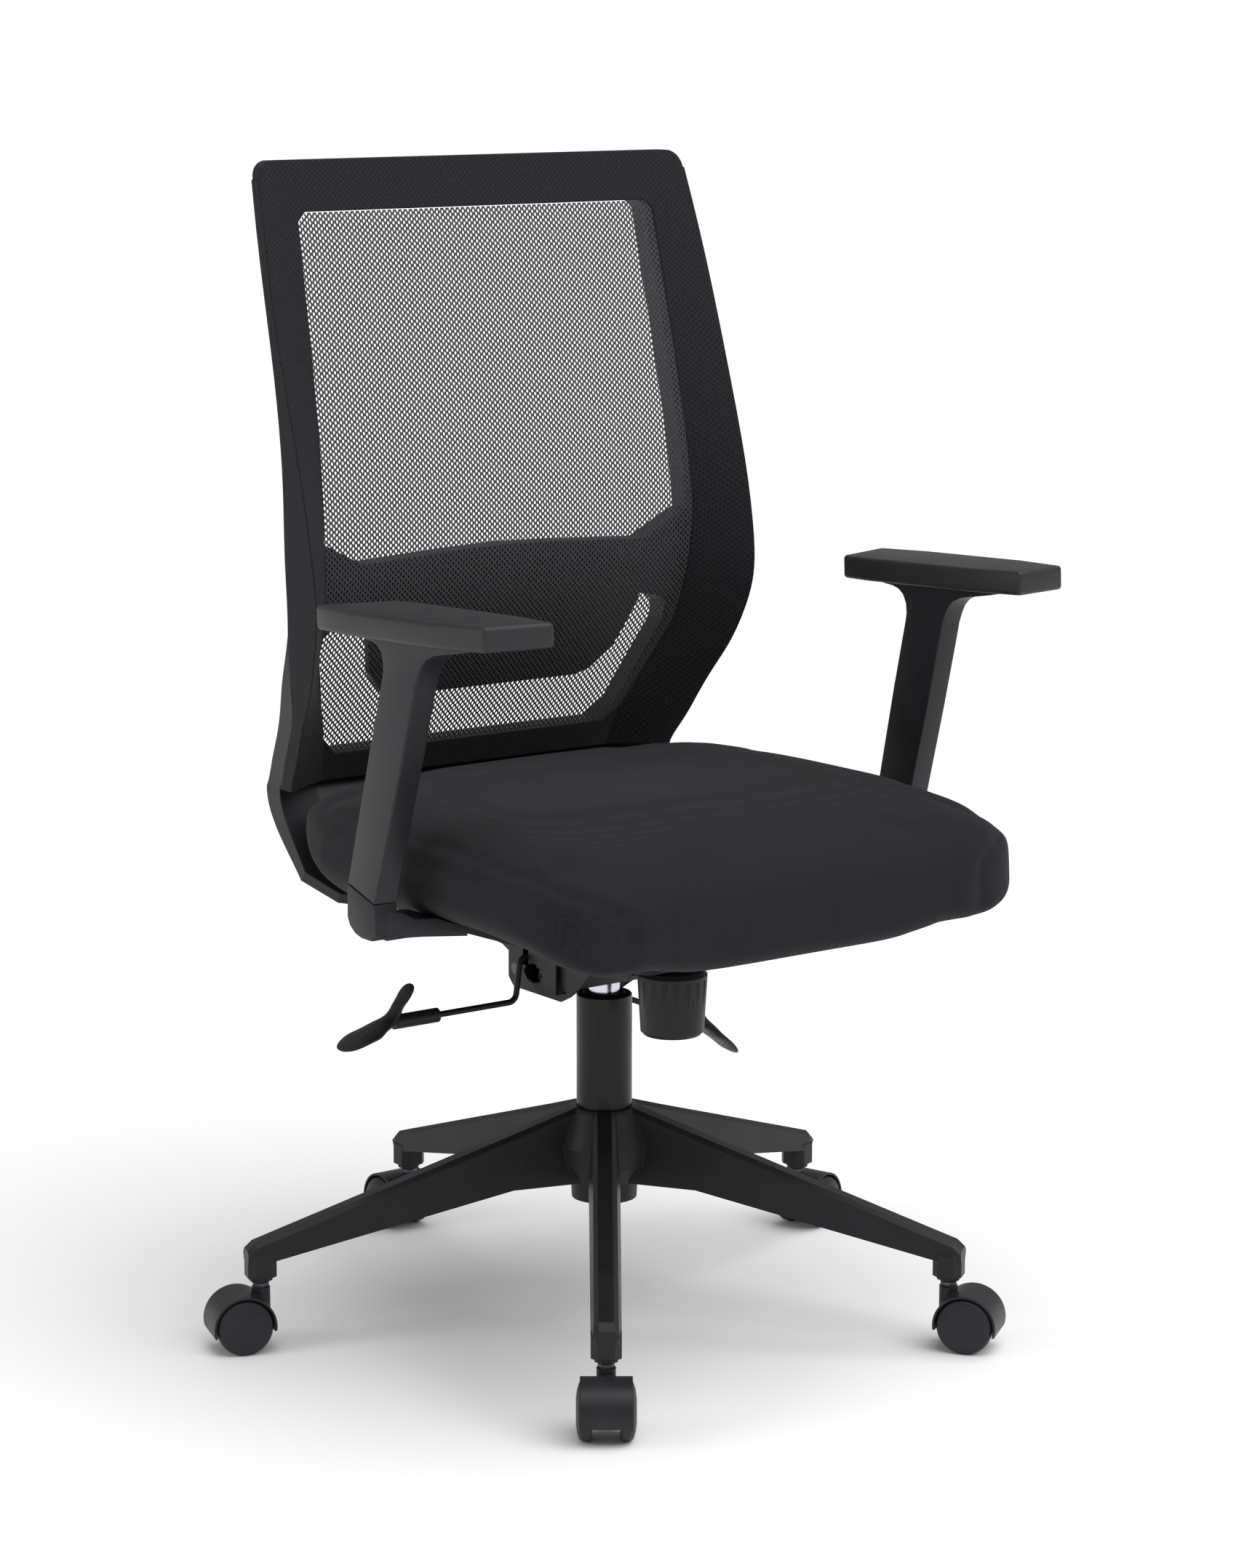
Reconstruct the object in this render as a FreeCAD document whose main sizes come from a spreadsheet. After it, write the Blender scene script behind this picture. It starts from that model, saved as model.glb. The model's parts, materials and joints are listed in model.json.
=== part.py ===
import FreeCAD, Part
import math
import os
import re
import Sketcher
from FreeCAD import Placement, Rotation, Vector

# Swivel office chair: five-arm castor base, gas column, synchro mechanism, waterfall seat,
# mesh back with a lumbar pad, and height-adjustable arms.
# Frame: origin on the floor under the column, +Z up, the sitter faces -Y and their left is +X.

SIZES = {
    "base": {
        "arm_count": 5, "first_arm_turn": 18.46, "base_reach": 320, "socket_bottom": 62, "socket_half": 13,
        "socket_corner": 6, "socket_depth": 27, "hub_bore": 25, "hub_top": 195, "hub_bottom": 110,
        "hub_belly": 44, "hub_collar": 31.5, "arm_root": 28, "arm_knee": 90, "arm_root_top": 196,
        "arm_knee_top": 175, "arm_end_top": 95, "arm_root_bottom": 127, "arm_knee_bottom": 126,
        "arm_end_bottom": 78, "arm_root_width": 29, "arm_width": 26, "arm_top_width": 17,
        "arm_edge": 4, "arm_wall": 3.2, "rib_thickness": 2.4, "rib_pitch": 48,
    },
    "castor": {
        "wheel_radius": 25, "wheel_width": 13.5, "castor_width": 50.6, "castor_trail": 19,
        "axle_radius": 3, "axle_length": 44, "running": 0.05, "stem_radius": 5.5, "stem_top": 88,
        "hood_inner": 26.4, "hood_wall": 2, "hood_width": 44, "web_width": 10, "stem_boss": 8.2,
        "boss_top": 56, "hood_front_drop": 6, "wheel_hub": 6.5, "wheel_rim": 3.2,
    },
    "column": {
        "tube_radius": 25, "tube_wall": 2.5, "tube_top": 299, "tube_bottom": 112, "tube_floor": 4,
        "taper_top": 190, "taper_bottom": 122, "taper_end_radius": 23.4, "bush_length": 80,
        "gas_radius": 14, "gas_wall": 2, "gas_bottom": 150, "gas_shoulder": 318, "gas_top": 342,
        "gas_nose_radius": 13, "gland_height": 8, "rod_radius": 5, "rod_top": 262, "rod_bottom": 105,
        "piston_height": 10, "bearing_height": 4, "pin_radius": 3, "pin_length": 7.5, "pin_proud": 3.9,
    },
    "mechanism": {
        "case_half": 58, "case_wall": 3, "case_bottom": 318, "skirt_front": -26, "case_front": -128,
        "case_front_top": 362, "nose_bottom": 346, "belly_bottom": 301, "case_rear": 67, "case_rear_top": 339,
        "cone_radius": 21, "front_pivot_y": -112, "front_pivot_z": 353, "front_pin_radius": 4,
        "rear_pivot_y": 58, "rear_pivot_z": 318, "rear_pin_radius": 5, "link_y": 158, "link_z": 355,
        "link_pin_radius": 4, "link_play": 1.5, "link_travel": 10, "plate_bottom": 364.5,
        "plate_thickness": 3.5, "plate_half": 95, "tongue_half": 40, "plate_front": -126, "plate_rear": 178,
        "tongue_start": 106, "flange_thickness": 4, "bracket_thickness": 4.5, "bracket_inner": 44,
        "knob_y": -102, "knob_top": 340, "knob_bottom": 282, "knob_radius": 31, "knob_tip_radius": 28,
        "flute_count": 18, "flute_radius": 2.6, "screw_radius": 5, "spring_radius": 11, "spring_wire": 3.2,
        "lever_pivot_x": 24, "lever_pivot_z": 334, "lever_rod_radius": 2.75, "lever_z": 293.5,
        "height_lever_y": 40, "height_lever_out_y": 36, "height_leg_x": 72, "height_reach": 190,
        "lock_lever_y": 20, "lock_lever_out_y": 66, "lock_leg_x": 74, "lock_reach": 168.5,
        "lock_lever_droop": 22.5, "lever_bend": 9, "collar_radius": 6.5, "collar_length": 46,
        "scoop_rear_z": 394, "scoop_middle_z": 378, "scoop_front_z": 370,
    },
    "seat": {
        "pan_bottom": 368.3, "pan_thickness": 9, "pan_half": 214,
        "pan_rise": 38, "cushion_gap": 0.6,
    },
    "back": {
        "carrier_depth": 12, "back_joint": 0.3, "shell_edge": 7, "shell_depth": 24, "rail_top": 688,
        "rail_bottom": 628, "lower_window_bottom": 502, "upper_window_top": 991, "back_corner": 16,
        "mesh_thickness": 1.2, "mesh_lead": 1,
    },
    "arm": {
        "arm_x": 286.5, "post_lean": 15.5, "post_inward": 1.8, "seam_y": -63.8, "seam_z": 438,
        "sleeve_foot": 43.4,
        "sleeve_thickness": 22, "post_depth": 36, "post_thickness": 15, "post_length": 202, "leg_y": -64,
        "flare_front": -222, "flare_rear": -52, "elbow_bottom": 401, "elbow_inner_x": 205, "leg_top": 421,
        "bar_thickness": 6, "bar_width": 40, "bar_inner_x": 104, "pad_thickness": 21, "pad_front": -270,
        "pad_rear": -12, "pad_inner": 236, "pad_outer": 314, "pad_tilt": 2.6, "pad_z": 663,
        "pad_middle": -140,
        "button_height": 120, "arm_button_radius": 5,
    },
}

doc = FreeCAD.newDocument("SwivelOfficeChair")
sheet = doc.addObject("Spreadsheet::Sheet", "Sizes")
row = 0
for family, cells in SIZES.items():
    for alias, number in cells.items():
        row += 1
        sheet.set(f"A{row}", family + " " + alias)
        sheet.set(f"B{row}", str(number))
        sheet.setAlias(f"B{row}", alias)
doc.recompute()

WORD = re.compile(r"\b[a-z]\w*\b(?!\s*\()")
PARTS = []


def in_sheet(expression):
    """The expression with each alias pointed at the sheet."""
    return WORD.sub(lambda word: "Sizes." + word.group(0), str(expression))


def size(expression):
    """The number that an expression of the sheet's cells comes to."""
    return float(sheet.evalExpression(in_sheet(expression)))


def bind(item, **expressions):
    for name, expression in expressions.items():
        item.setExpression(name, in_sheet(expression))


def place(item, x=0, y=0, z=0, turn=(0, 0, 1), angle=0):
    """Turns the item about its own origin, then moves it to a point given by expressions."""
    item.Placement = Placement(Vector(size(x), size(y), size(z)), Rotation(Vector(*turn), angle))


def keep(item, label):
    """Marks an object as one finished piece of the chair."""
    item.Label = label
    PARTS.append(item)
    return item


# ---- Sketches and features ----------------------------------------------------------------

def new_body(label):
    return keep(doc.addObject("PartDesign::Body", "Body_" + label), label)


def sketch(body, plane, offset=0):
    """An empty sketch on one of the body's own origin planes, moved along the plane's normal."""
    made = body.newObject("Sketcher::SketchObject", "Sketch")
    support = [item for item in body.Origin.OriginFeatures if item.Role == plane][0]
    made.AttachmentSupport = [(support, "")]
    made.MapMode = "FlatFace"
    made.AttachmentOffset = Placement(Vector(0, 0, size(offset)), Rotation())
    return made


def pin_point(made, geometry, point, x, y):
    """Ties a vertex of the sketch to the sheet."""
    for kind, expression in (("DistanceX", x), ("DistanceY", y)):
        index = made.addConstraint(
            Sketcher.Constraint(kind, -1, 1, geometry, point, size(expression)))
        made.setExpression(f"Constraints[{index}]", in_sheet(expression))


def outline(made, corners):
    """A closed polygon through corners given as pairs of expressions."""
    spots = [Vector(size(x), size(y), 0) for x, y in corners]
    count = len(spots)
    first = made.GeometryCount
    for index in range(count):
        made.addGeometry(Part.LineSegment(spots[index], spots[(index + 1) % count]))
    for index in range(count):
        made.addConstraint(
            Sketcher.Constraint("Coincident", first + index, 2, first + (index + 1) % count, 1))
    for index, (x, y) in enumerate(corners):
        pin_point(made, first + index, 1, x, y)
    return made


def circle(made, x, y, radius):
    index = made.addGeometry(Part.Circle(Vector(size(x), size(y), 0), Vector(0, 0, 1), size(radius)))
    pin_point(made, index, 3, x, y)
    rule = made.addConstraint(Sketcher.Constraint("Radius", index, size(radius)))
    made.setExpression(f"Constraints[{rule}]", in_sheet(radius))
    return made


def feature(body, kind, profile, **settings):
    made = body.newObject("PartDesign::" + kind, kind)
    if profile is not None:
        made.Profile = profile
    for name, setting in settings.items():
        setattr(made, name, setting)
    return made


def pad(body, profile, length, middle=False, back=False):
    made = feature(body, "Pad", profile, Midplane=middle, Reversed=back)
    bind(made, Length=length)
    return made


def pocket(body, profile, length, middle=False, back=False):
    made = feature(body, "Pocket", profile, Midplane=middle, Reversed=back)
    bind(made, Length=length)
    return made


def revolve(body, profile, axis="V_Axis"):
    return feature(body, "Revolution", profile, ReferenceAxis=(profile, [axis]), Angle=360)


def loft(body, kind, profiles):
    return feature(body, kind, profiles[0], Sections=profiles[1:], Ruled=True)


def repeat_round(body, originals, count):
    """The features repeated evenly round the body's Z axis."""
    axis = [item for item in body.Origin.OriginFeatures if item.Role == "Z_Axis"][0]
    made = feature(body, "PolarPattern", None, Originals=originals, Axis=(axis, [""]), Angle=360)
    bind(made, Occurrences=count)
    body.Tip = made
    return made


def turned(label, corners):
    """A piece turned about Z from a half section of (radius, height) corners."""
    body = new_body(label)
    revolve(body, outline(sketch(body, "XZ_Plane"), corners))
    return body


# ---- Primitives and free shapes -----------------------------------------------------------

def rod(radius, length, x=0, y=0, z=0, axis="Z"):
    """A round bar centred on a point, along a main axis."""
    made = doc.addObject("Part::Cylinder", "Rod")
    bind(made, Radius=radius, Height=length)
    half = size(length) / 2
    turn, shift = {
        "X": (Rotation(Vector(0, 1, 0), 90), Vector(-half, 0, 0)),
        "Y": (Rotation(Vector(1, 0, 0), -90), Vector(0, -half, 0)),
        "Z": (Rotation(), Vector(0, 0, -half)),
    }[axis]
    made.Placement = Placement(Vector(size(x), size(y), size(z)) + shift, turn)
    return made


def block(low, high):
    """A box between two corners given by expressions."""
    made = doc.addObject("Part::Box", "Block")
    spans = [f"({b}) - ({a})" for a, b in zip(low, high)]
    bind(made, Length=spans[0], Width=spans[1], Height=spans[2])
    made.Placement = Placement(Vector(*[size(a) for a in low]), Rotation())
    return made


def group(label, items, kind="Part::Compound"):
    made = doc.addObject(kind, "Group_" + label)
    setattr(made, "Links" if kind == "Part::Compound" else "Shapes", items)
    return keep(made, label)


def free_shape(label, shape, placement=None):
    made = doc.addObject("Part::Feature", "Free_" + label)
    made.Shape = shape
    if placement is not None:
        made.Placement = placement
    return keep(made, label)


def bent_rod(points, radius, bend):
    """A round wire along straight runs with one bend radius."""
    edges = []
    start = points[0]
    for before, corner, after in zip(points, points[1:], points[2:]):
        arriving = (corner - before).normalize()
        leaving = (after - corner).normalize()
        half = arriving.getAngle(leaving) / 2
        cut = bend * math.tan(half)
        enter = corner - arriving * cut
        leave = corner + leaving * cut
        middle = (leaving - arriving).normalize()
        top = corner + middle * (bend / math.cos(half) - bend)
        edges.append(Part.LineSegment(start, enter).toShape())
        edges.append(Part.Arc(enter, top, leave).toShape())
        start = leave
    edges.append(Part.LineSegment(start, points[-1]).toShape())
    face = Part.Wire(Part.Circle(points[0], points[1] - points[0], radius).toShape())
    return Part.Wire(edges).makePipeShell([face], True, True)


def smooth(stations, at):
    """A smooth value through (place, value) stations, level beyond the ends."""
    if at <= stations[0][0]:
        return stations[0][1]
    if at >= stations[-1][0]:
        return stations[-1][1]
    rates = [(high[1] - low[1]) / (high[0] - low[0]) for low, high in zip(stations, stations[1:])]
    inner = [0 if a * b <= 0 else 2 * a * b / (a + b) for a, b in zip(rates, rates[1:])]
    slopes = [rates[0], *inner, rates[-1]]
    for n in range(len(stations) - 1):
        (a, va), (b, vb) = stations[n], stations[n + 1]
        if a <= at <= b:
            span = b - a
            t = (at - a) / span
            rise = (2 * t ** 3 - 3 * t ** 2 + 1) * va + (3 * t ** 2 - 2 * t ** 3) * vb
            lean = (t ** 3 - 2 * t ** 2 + t) * slopes[n] + (t ** 3 - t ** 2) * slopes[n + 1]
            return rise + lean * span


def skin(sections, straight=False):
    """A solid through closed polygons with the same number of corners."""
    wires = [Part.makePolygon(corners + corners[:1]) for corners in sections]
    return Part.makeLoft(wires, True, straight)


def prism_y(corners, front=0, rear=400):
    """A solid along Y from an (x, z) outline."""
    spots = [Vector(x, front, z) for x, z in corners]
    face = Part.Face(Part.makePolygon(spots + spots[:1]))
    return face.extrude(Vector(0, rear - front, 0))


def mirrored(corners):
    """An (x, z) outline's right half, closed with its mirror image."""
    return corners + [(-x, z) for x, z in reversed(corners) if abs(x) > 1e-6]


# ---- Base and castors ---------------------------------------------------------------------

def arm_section(body, reach, width, bottom, top):
    """The base arm's cross-section: a trapezoid with its top edges cut off."""
    half, crown = f"({width}) / 2", "arm_top_width / 2"
    corners = [
        (f"-{half}", bottom), (half, bottom), (f"{crown} + arm_edge / 2", f"{top} - arm_edge"),
        (f"{crown} - arm_edge / 2", top), (f"-{crown} + arm_edge / 2", top),
        (f"-{crown} - arm_edge / 2", f"{top} - arm_edge")]
    return outline(sketch(body, "YZ_Plane", reach), corners)


def channel_section(body, reach, width, top):
    half = f"({width}) / 2 - arm_wall"
    corners = [
        (f"-({half})", "20"), (half, "20"), (f"{half} - arm_edge", f"{top} - arm_wall - arm_edge"),
        (f"-({half}) + arm_edge", f"{top} - arm_wall - arm_edge")]
    return outline(sketch(body, "YZ_Plane", reach), corners)


def make_base_star():
    star = new_body("base_star")
    hub = sketch(star, "XZ_Plane")
    revolve(star, outline(hub, [
        ("taper_end_radius", "hub_bottom"), ("hub_collar - 2", "hub_bottom"),
        ("hub_collar - 1", "arm_root_bottom"), ("hub_belly - 2", "arm_root_bottom + 16"),
        ("hub_belly", "arm_knee_top - 14"), ("hub_belly - 7", "arm_knee_top + 6"),
        ("hub_collar", "hub_top - 3"), ("hub_collar - 2", "hub_top"), ("hub_bore", "hub_top"),
        ("hub_bore", "taper_top"), ("taper_end_radius", "taper_bottom")]))
    socket = "base_reach - socket_half"
    tip = "base_reach + socket_half"
    shape = loft(star, "AdditiveLoft", [
        arm_section(star, "arm_root", "arm_root_width", "arm_root_bottom", "arm_root_top"),
        arm_section(star, "arm_knee", "arm_width + 2", "arm_knee_bottom", "arm_knee_top"),
        arm_section(star, f"{tip} - 7", "arm_width", "arm_end_bottom", "arm_end_top + 2.3")])
    end = loft(star, "AdditiveLoft", [
        arm_section(star, f"{tip} - 7", "arm_width", "arm_end_bottom", "arm_end_top + 2.3"),
        arm_section(star, tip, "arm_width - 9", "arm_end_bottom + 2", "arm_end_top - 4")])
    channel = loft(star, "SubtractiveLoft", [
        channel_section(star, "hub_belly + 6", "arm_root_width", "arm_knee_top + 8"),
        channel_section(star, "arm_knee", "arm_width + 2", "arm_knee_top"),
        channel_section(star, f"{socket} - 4", "arm_width", "arm_end_top + 8")])
    ribs = []
    for number in range(4):
        reach = f"arm_knee + {number} * rib_pitch"
        rib_base = f"arm_knee_bottom + 4 - {number} * rib_pitch * 0.21"
        half = "arm_width / 2 - arm_wall + 0.5"
        rib = outline(sketch(star, "YZ_Plane", reach), [
            (f"-({half})", rib_base), (half, rib_base),
            (f"{half} - arm_edge - 1", f"arm_knee_top - arm_edge - {number} * rib_pitch * 0.33 - 3"),
            (f"-({half} - arm_edge - 1)", f"arm_knee_top - arm_edge - {number} * rib_pitch * 0.33 - 3")])
        ribs.append(pad(star, rib, "rib_thickness"))
    foot = outline(sketch(star, "XY_Plane", "socket_bottom + 4"), rounded_square("0"))
    socket_block = pad(star, foot, "arm_end_bottom + 8 - socket_bottom - 4")
    neck = pad(star, outline(sketch(star, "XY_Plane", "socket_bottom"), rounded_square("3.2")), "4.01")
    hole = circle(sketch(star, "XY_Plane", "socket_bottom"), "base_reach", "0", "stem_radius + running")
    bore = pocket(star, hole, "socket_depth", back=True)
    repeat_round(star, [shape, end, channel, *ribs, socket_block, neck, bore], "arm_count")
    place(star, angle=size("first_arm_turn"))


def rounded_square(inset):
    """The castor socket's outline: a square with its corners cut off."""
    half, cut = f"(socket_half - {inset})", "socket_corner"
    signs = [(1, -1), (1, 1), (-1, 1), (-1, -1)]
    corners = []
    for number, (sx, sy) in enumerate(signs):
        flat = (f"base_reach + {sx} * {half}", f"{sy} * ({half} - {cut})")
        steep = (f"base_reach + {sx} * ({half} - {cut})", f"{sy} * {half}")
        corners += [flat, steep] if number % 2 else [steep, flat]
    return corners


def castor_spot(number):
    """Where a castor's stem stands, and which way the castor trails."""
    angle = size("first_arm_turn") + 360 / size("arm_count") * number
    reach = size("base_reach")
    spot = Vector(reach * math.cos(math.radians(angle)), reach * math.sin(math.radians(angle)), 0)
    return Placement(spot, Rotation(Vector(0, 0, 1), angle))


def make_castor(number):
    """One castor. Its own frame has the stem on Z and the wheels trailing along +X."""
    spot = castor_spot(number)
    hood = new_body(f"castor_{number}_hood")
    disc = circle(sketch(hood, "XZ_Plane"), "castor_trail", "wheel_radius", "hood_inner + hood_wall")
    pad(hood, disc, "hood_width", middle=True)
    post = circle(sketch(hood, "XY_Plane", "wheel_radius + 12"), "0", "0", "stem_boss")
    pad(hood, post, "boss_top - wheel_radius - 12")
    face = sketch(hood, "XZ_Plane", "web_width / 2")
    wheel_room = circle(face, "castor_trail", "wheel_radius", "hood_inner")
    pocket(hood, wheel_room, "hood_width", back=True)
    face = sketch(hood, "XZ_Plane", "-web_width / 2")
    wheel_room = circle(face, "castor_trail", "wheel_radius", "hood_inner")
    pocket(hood, wheel_room, "hood_width")
    below = outline(sketch(hood, "XZ_Plane"), [
        ("castor_trail - 40", "-10"), ("castor_trail + 40", "-10"),
        ("castor_trail + 40", "wheel_radius - hood_front_drop"),
        ("castor_trail + 9", "wheel_radius - 9"), ("castor_trail - 9", "wheel_radius - 9"),
        ("castor_trail - 40", "wheel_radius - 1")])
    pocket(hood, below, "castor_width * 2", middle=True)
    stem_hole = circle(sketch(hood, "XY_Plane", "boss_top + 1"), "0", "0", "stem_radius")
    pocket(hood, stem_hole, "15")
    axle_hole = circle(sketch(hood, "XZ_Plane"), "castor_trail", "wheel_radius", "axle_radius")
    pocket(hood, axle_hole, "castor_width", middle=True)
    hood.Placement = spot

    stem = rod("stem_radius", "stem_top - boss_top + 14", 0, 0, "(stem_top + boss_top - 14) / 2")
    collar = rod("stem_boss - 1", "2.5", 0, 0, "socket_bottom - 2.8")
    axle = rod("axle_radius", "axle_length", "castor_trail", 0, "wheel_radius", axis="Y")
    stem_piece = doc.addObject("Part::MultiFuse", "Stem")
    stem_piece.Shapes = [stem, collar]
    pins = group(f"castor_{number}_pins", [stem_piece, axle])
    pins.Placement = spot

    for side, name in ((1, "left"), (-1, "right")):
        wheel = turned(f"castor_{number}_wheel_{name}", [
            ("axle_radius + running", "0"), ("wheel_hub", "0"), ("wheel_hub", "wheel_width - 7"),
            ("wheel_radius - wheel_rim - 1", "wheel_width - 7"), ("wheel_radius - wheel_rim", "0"),
            ("wheel_radius - 1.2", "0"), ("wheel_radius", "1.5"), ("wheel_radius", "wheel_width - 5.5"),
            ("wheel_radius - 1.6", "wheel_width - 2.8"), ("wheel_radius - 7", "wheel_width - 0.9"),
            ("wheel_radius - 14", "wheel_width"), ("0", "wheel_width"),
            ("0", "wheel_width - 2.6"), ("axle_radius + running", "wheel_width - 2.6")])
        inner = size("castor_width / 2 - wheel_width")
        hub_spot = Vector(size("castor_trail"), side * inner, size("wheel_radius"))
        wheel.Placement = spot.multiply(Placement(hub_spot, Rotation(Vector(1, 0, 0), -90 * side)))


# ---- Gas column ---------------------------------------------------------------------------

def make_column():
    turned("column_tube", [
        ("rod_radius + 0.6", "tube_bottom"), ("taper_end_radius - 1", "tube_bottom"),
        ("taper_end_radius", "taper_bottom - 6"), ("taper_end_radius", "taper_bottom"),
        ("tube_radius", "taper_top"), ("tube_radius", "tube_top - 1.2"),
        ("tube_radius - 1.2", "tube_top"), ("tube_radius - tube_wall", "tube_top"),
        ("tube_radius - tube_wall", "taper_top - 6"),
        ("taper_end_radius - tube_wall", "taper_bottom"),
        ("taper_end_radius - tube_wall", "tube_bottom + tube_floor"),
        ("rod_radius + 0.6", "tube_bottom + tube_floor")])
    bush_foot = "tube_top - bush_length"
    turned("guide_bush", [
        ("gas_radius + running", bush_foot), ("tube_radius - tube_wall", bush_foot),
        ("tube_radius - tube_wall", "tube_top - 3"), ("gas_radius + 4", "tube_top + 1.5"),
        ("gas_radius + running", "tube_top + 1.5")])
    floor_top = "tube_bottom + tube_floor"
    turned("thrust_bearing", [
        ("rod_radius + 0.8", floor_top), ("rod_radius + 10", floor_top),
        ("rod_radius + 10", f"{floor_top} + bearing_height"),
        ("rod_radius + 0.8", f"{floor_top} + bearing_height")])
    shoulder = f"{floor_top} + bearing_height + 0.1"
    turned("piston_rod", [
        ("0", "rod_bottom"), ("rod_radius", "rod_bottom"), ("rod_radius", shoulder),
        ("rod_radius + 8", shoulder), ("rod_radius + 8", f"{shoulder} + 3"),
        ("rod_radius", f"{shoulder} + 5"), ("rod_radius", "rod_top"),
        ("gas_radius - gas_wall - running", "rod_top"),
        ("gas_radius - gas_wall - running", "rod_top + piston_height"), ("0", "rod_top + piston_height")])
    turned("retaining_clip", [
        ("rod_radius", "tube_bottom - 3.5"), ("rod_radius + 7", "tube_bottom - 3.5"),
        ("rod_radius + 7", "tube_bottom - 1.5"), ("rod_radius", "tube_bottom - 1.5")])
    turned("gas_cylinder", [
        ("rod_radius + running", "gas_bottom"), ("gas_radius - 1", "gas_bottom"),
        ("gas_radius", "gas_bottom + 1"), ("gas_radius", "gas_shoulder"), ("gas_nose_radius", "gas_top"),
        ("pin_radius + running", "gas_top"), ("pin_radius + running", "gas_top - 9"),
        ("0", "gas_top - 9"), ("0", "gas_top - 16"), ("gas_radius - gas_wall", "gas_top - 16"),
        ("gas_radius - gas_wall", "gas_bottom + gland_height"),
        ("rod_radius + running", "gas_bottom + gland_height")])
    keep(rod("pin_radius", "pin_length", 0, 0, "gas_top + pin_proud - pin_length / 2"), "release_pin")


# ---- Mechanism ----------------------------------------------------------------------------

def make_case():
    case = new_body("mechanism_case")
    profile = [
        ("case_front", "case_front_top"), ("case_front", "nose_bottom + 4"),
        ("case_front + 5", "nose_bottom"), ("-72", "nose_bottom"), ("-42", "case_bottom"),
        ("skirt_front", "belly_bottom + 6"), ("skirt_front + 12", "belly_bottom"),
        ("case_rear - 8", "belly_bottom"), ("case_rear", "belly_bottom + 8"),
        ("case_rear", "case_rear_top"), ("-100", "case_front_top")]
    pad(case, outline(sketch(case, "YZ_Plane"), profile), "case_half * 2", middle=True)
    wall = "case_wall"
    room = [
        (f"case_front + {wall}", "case_front_top + 9"), (f"case_front + {wall}", f"nose_bottom + {wall} + 3"),
        (f"case_front + 6 + {wall}", f"nose_bottom + {wall}"), (f"-70 + {wall}", f"nose_bottom + {wall}"),
        (f"-42 + {wall}", f"case_bottom + {wall}"), ("cone_radius + 8", f"case_bottom + {wall}"),
        ("cone_radius + 13", f"belly_bottom + {wall}"), (f"case_rear - 8 - {wall}", f"belly_bottom + {wall}"),
        (f"case_rear - {wall}", f"belly_bottom + 9 + {wall}"), (f"case_rear - {wall}", "case_front_top + 9")]
    pocket(case, outline(sketch(case, "YZ_Plane"), room), f"case_half * 2 - {wall} * 2", middle=True)
    under = outline(sketch(case, "YZ_Plane"), [
        ("-60", "belly_bottom - 5"), ("cone_radius + 9", "belly_bottom - 5"),
        ("cone_radius + 5", "case_bottom"), ("-60", "case_bottom")])
    pocket(case, under, f"case_half * 2 - {wall} * 2", middle=True)
    for side in (1, -1):
        gate = outline(sketch(case, "XZ_Plane", f"{wall} * 2 - case_rear"), [
            (f"{side} * (bracket_inner - 1)", "belly_bottom + 7"),
            (f"{side} * (bracket_inner + bracket_thickness + 1)", "belly_bottom + 7"),
            (f"{side} * (bracket_inner + bracket_thickness + 1)", "case_front_top"),
            (f"{side} * (bracket_inner - 1)", "case_front_top")])
        pocket(case, gate, f"{wall} * 4")
    port = [("14", "319"), ("18", "312.5"), ("28", "310"), ("38", "312.5"), ("43", "319"), ("38", "325.5"),
            ("28", "328"), ("18", "325.5")]
    pocket(case, outline(sketch(case, "YZ_Plane", "-case_half - 5"), port), "12", back=True)
    window = [("-23", "belly_bottom + 9"), ("-7", "belly_bottom + 5"), ("-7", "333"), ("-23", "333")]
    pocket(case, outline(sketch(case, "YZ_Plane", "-case_half - 5"), window), "12", back=True)
    cone = circle(sketch(case, "XY_Plane", "case_bottom"), "0", "0", "cone_radius")
    pad(case, cone, "gas_top - case_bottom - 3")
    bore = outline(sketch(case, "XZ_Plane"), [
        ("0", "case_bottom - 20"), ("gas_radius", "case_bottom - 20"), ("gas_radius", "gas_shoulder"),
        ("gas_nose_radius", "gas_top"), ("gas_nose_radius", "gas_top + 20"), ("0", "gas_top + 20")])
    feature(case, "Groove", bore, ReferenceAxis=(bore, ["V_Axis"]), Angle=360)
    pins = sketch(case, "YZ_Plane")
    circle(pins, "front_pivot_y", "front_pivot_z", "front_pin_radius")
    circle(pins, "rear_pivot_y", "rear_pivot_z", "rear_pin_radius")
    pocket(case, pins, "case_half * 3", middle=True)
    screw_hole = circle(sketch(case, "XY_Plane", "nose_bottom - 20"), "0", "knob_y", "screw_radius + running")
    pocket(case, screw_hole, "40", back=True)
    slots = [(-1, "height_lever_y", "lever_pivot_z - 10", "40"),
             (1, "lock_lever_y", "lever_pivot_z - 28", "58")]
    for side, at, foot, rise in slots:
        gap = "(lever_rod_radius + 1.5)"
        slot = outline(sketch(case, "YZ_Plane", f"{side} * (case_half - case_wall - 14)"), [
            (f"{at} - {gap}", foot), (f"{at} + {gap}", foot),
            (f"{at} + {gap}", f"{foot} + {rise}"), (f"{at} - {gap}", f"{foot} + {rise}")])
        pocket(case, slot, "25", back=side > 0)
    front_pin = rod("front_pin_radius", "case_half * 2 + 14", 0, "front_pivot_y", "front_pivot_z", "X")
    keep(front_pin, "front_pivot_pin")
    rear_pin = rod("rear_pin_radius", "case_half * 2", 0, "rear_pivot_y", "rear_pivot_z", "X")
    keep(rear_pin, "rear_pivot_pin")


def plate_pair(body, offset, thickness, corners):
    """Two upright plates either side of the middle, from a (y, z) outline."""
    for side in (1, -1):
        drawn = outline(sketch(body, "YZ_Plane", f"{side} * ({offset})"), corners)
        pad(body, drawn, thickness, back=side < 0)


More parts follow.
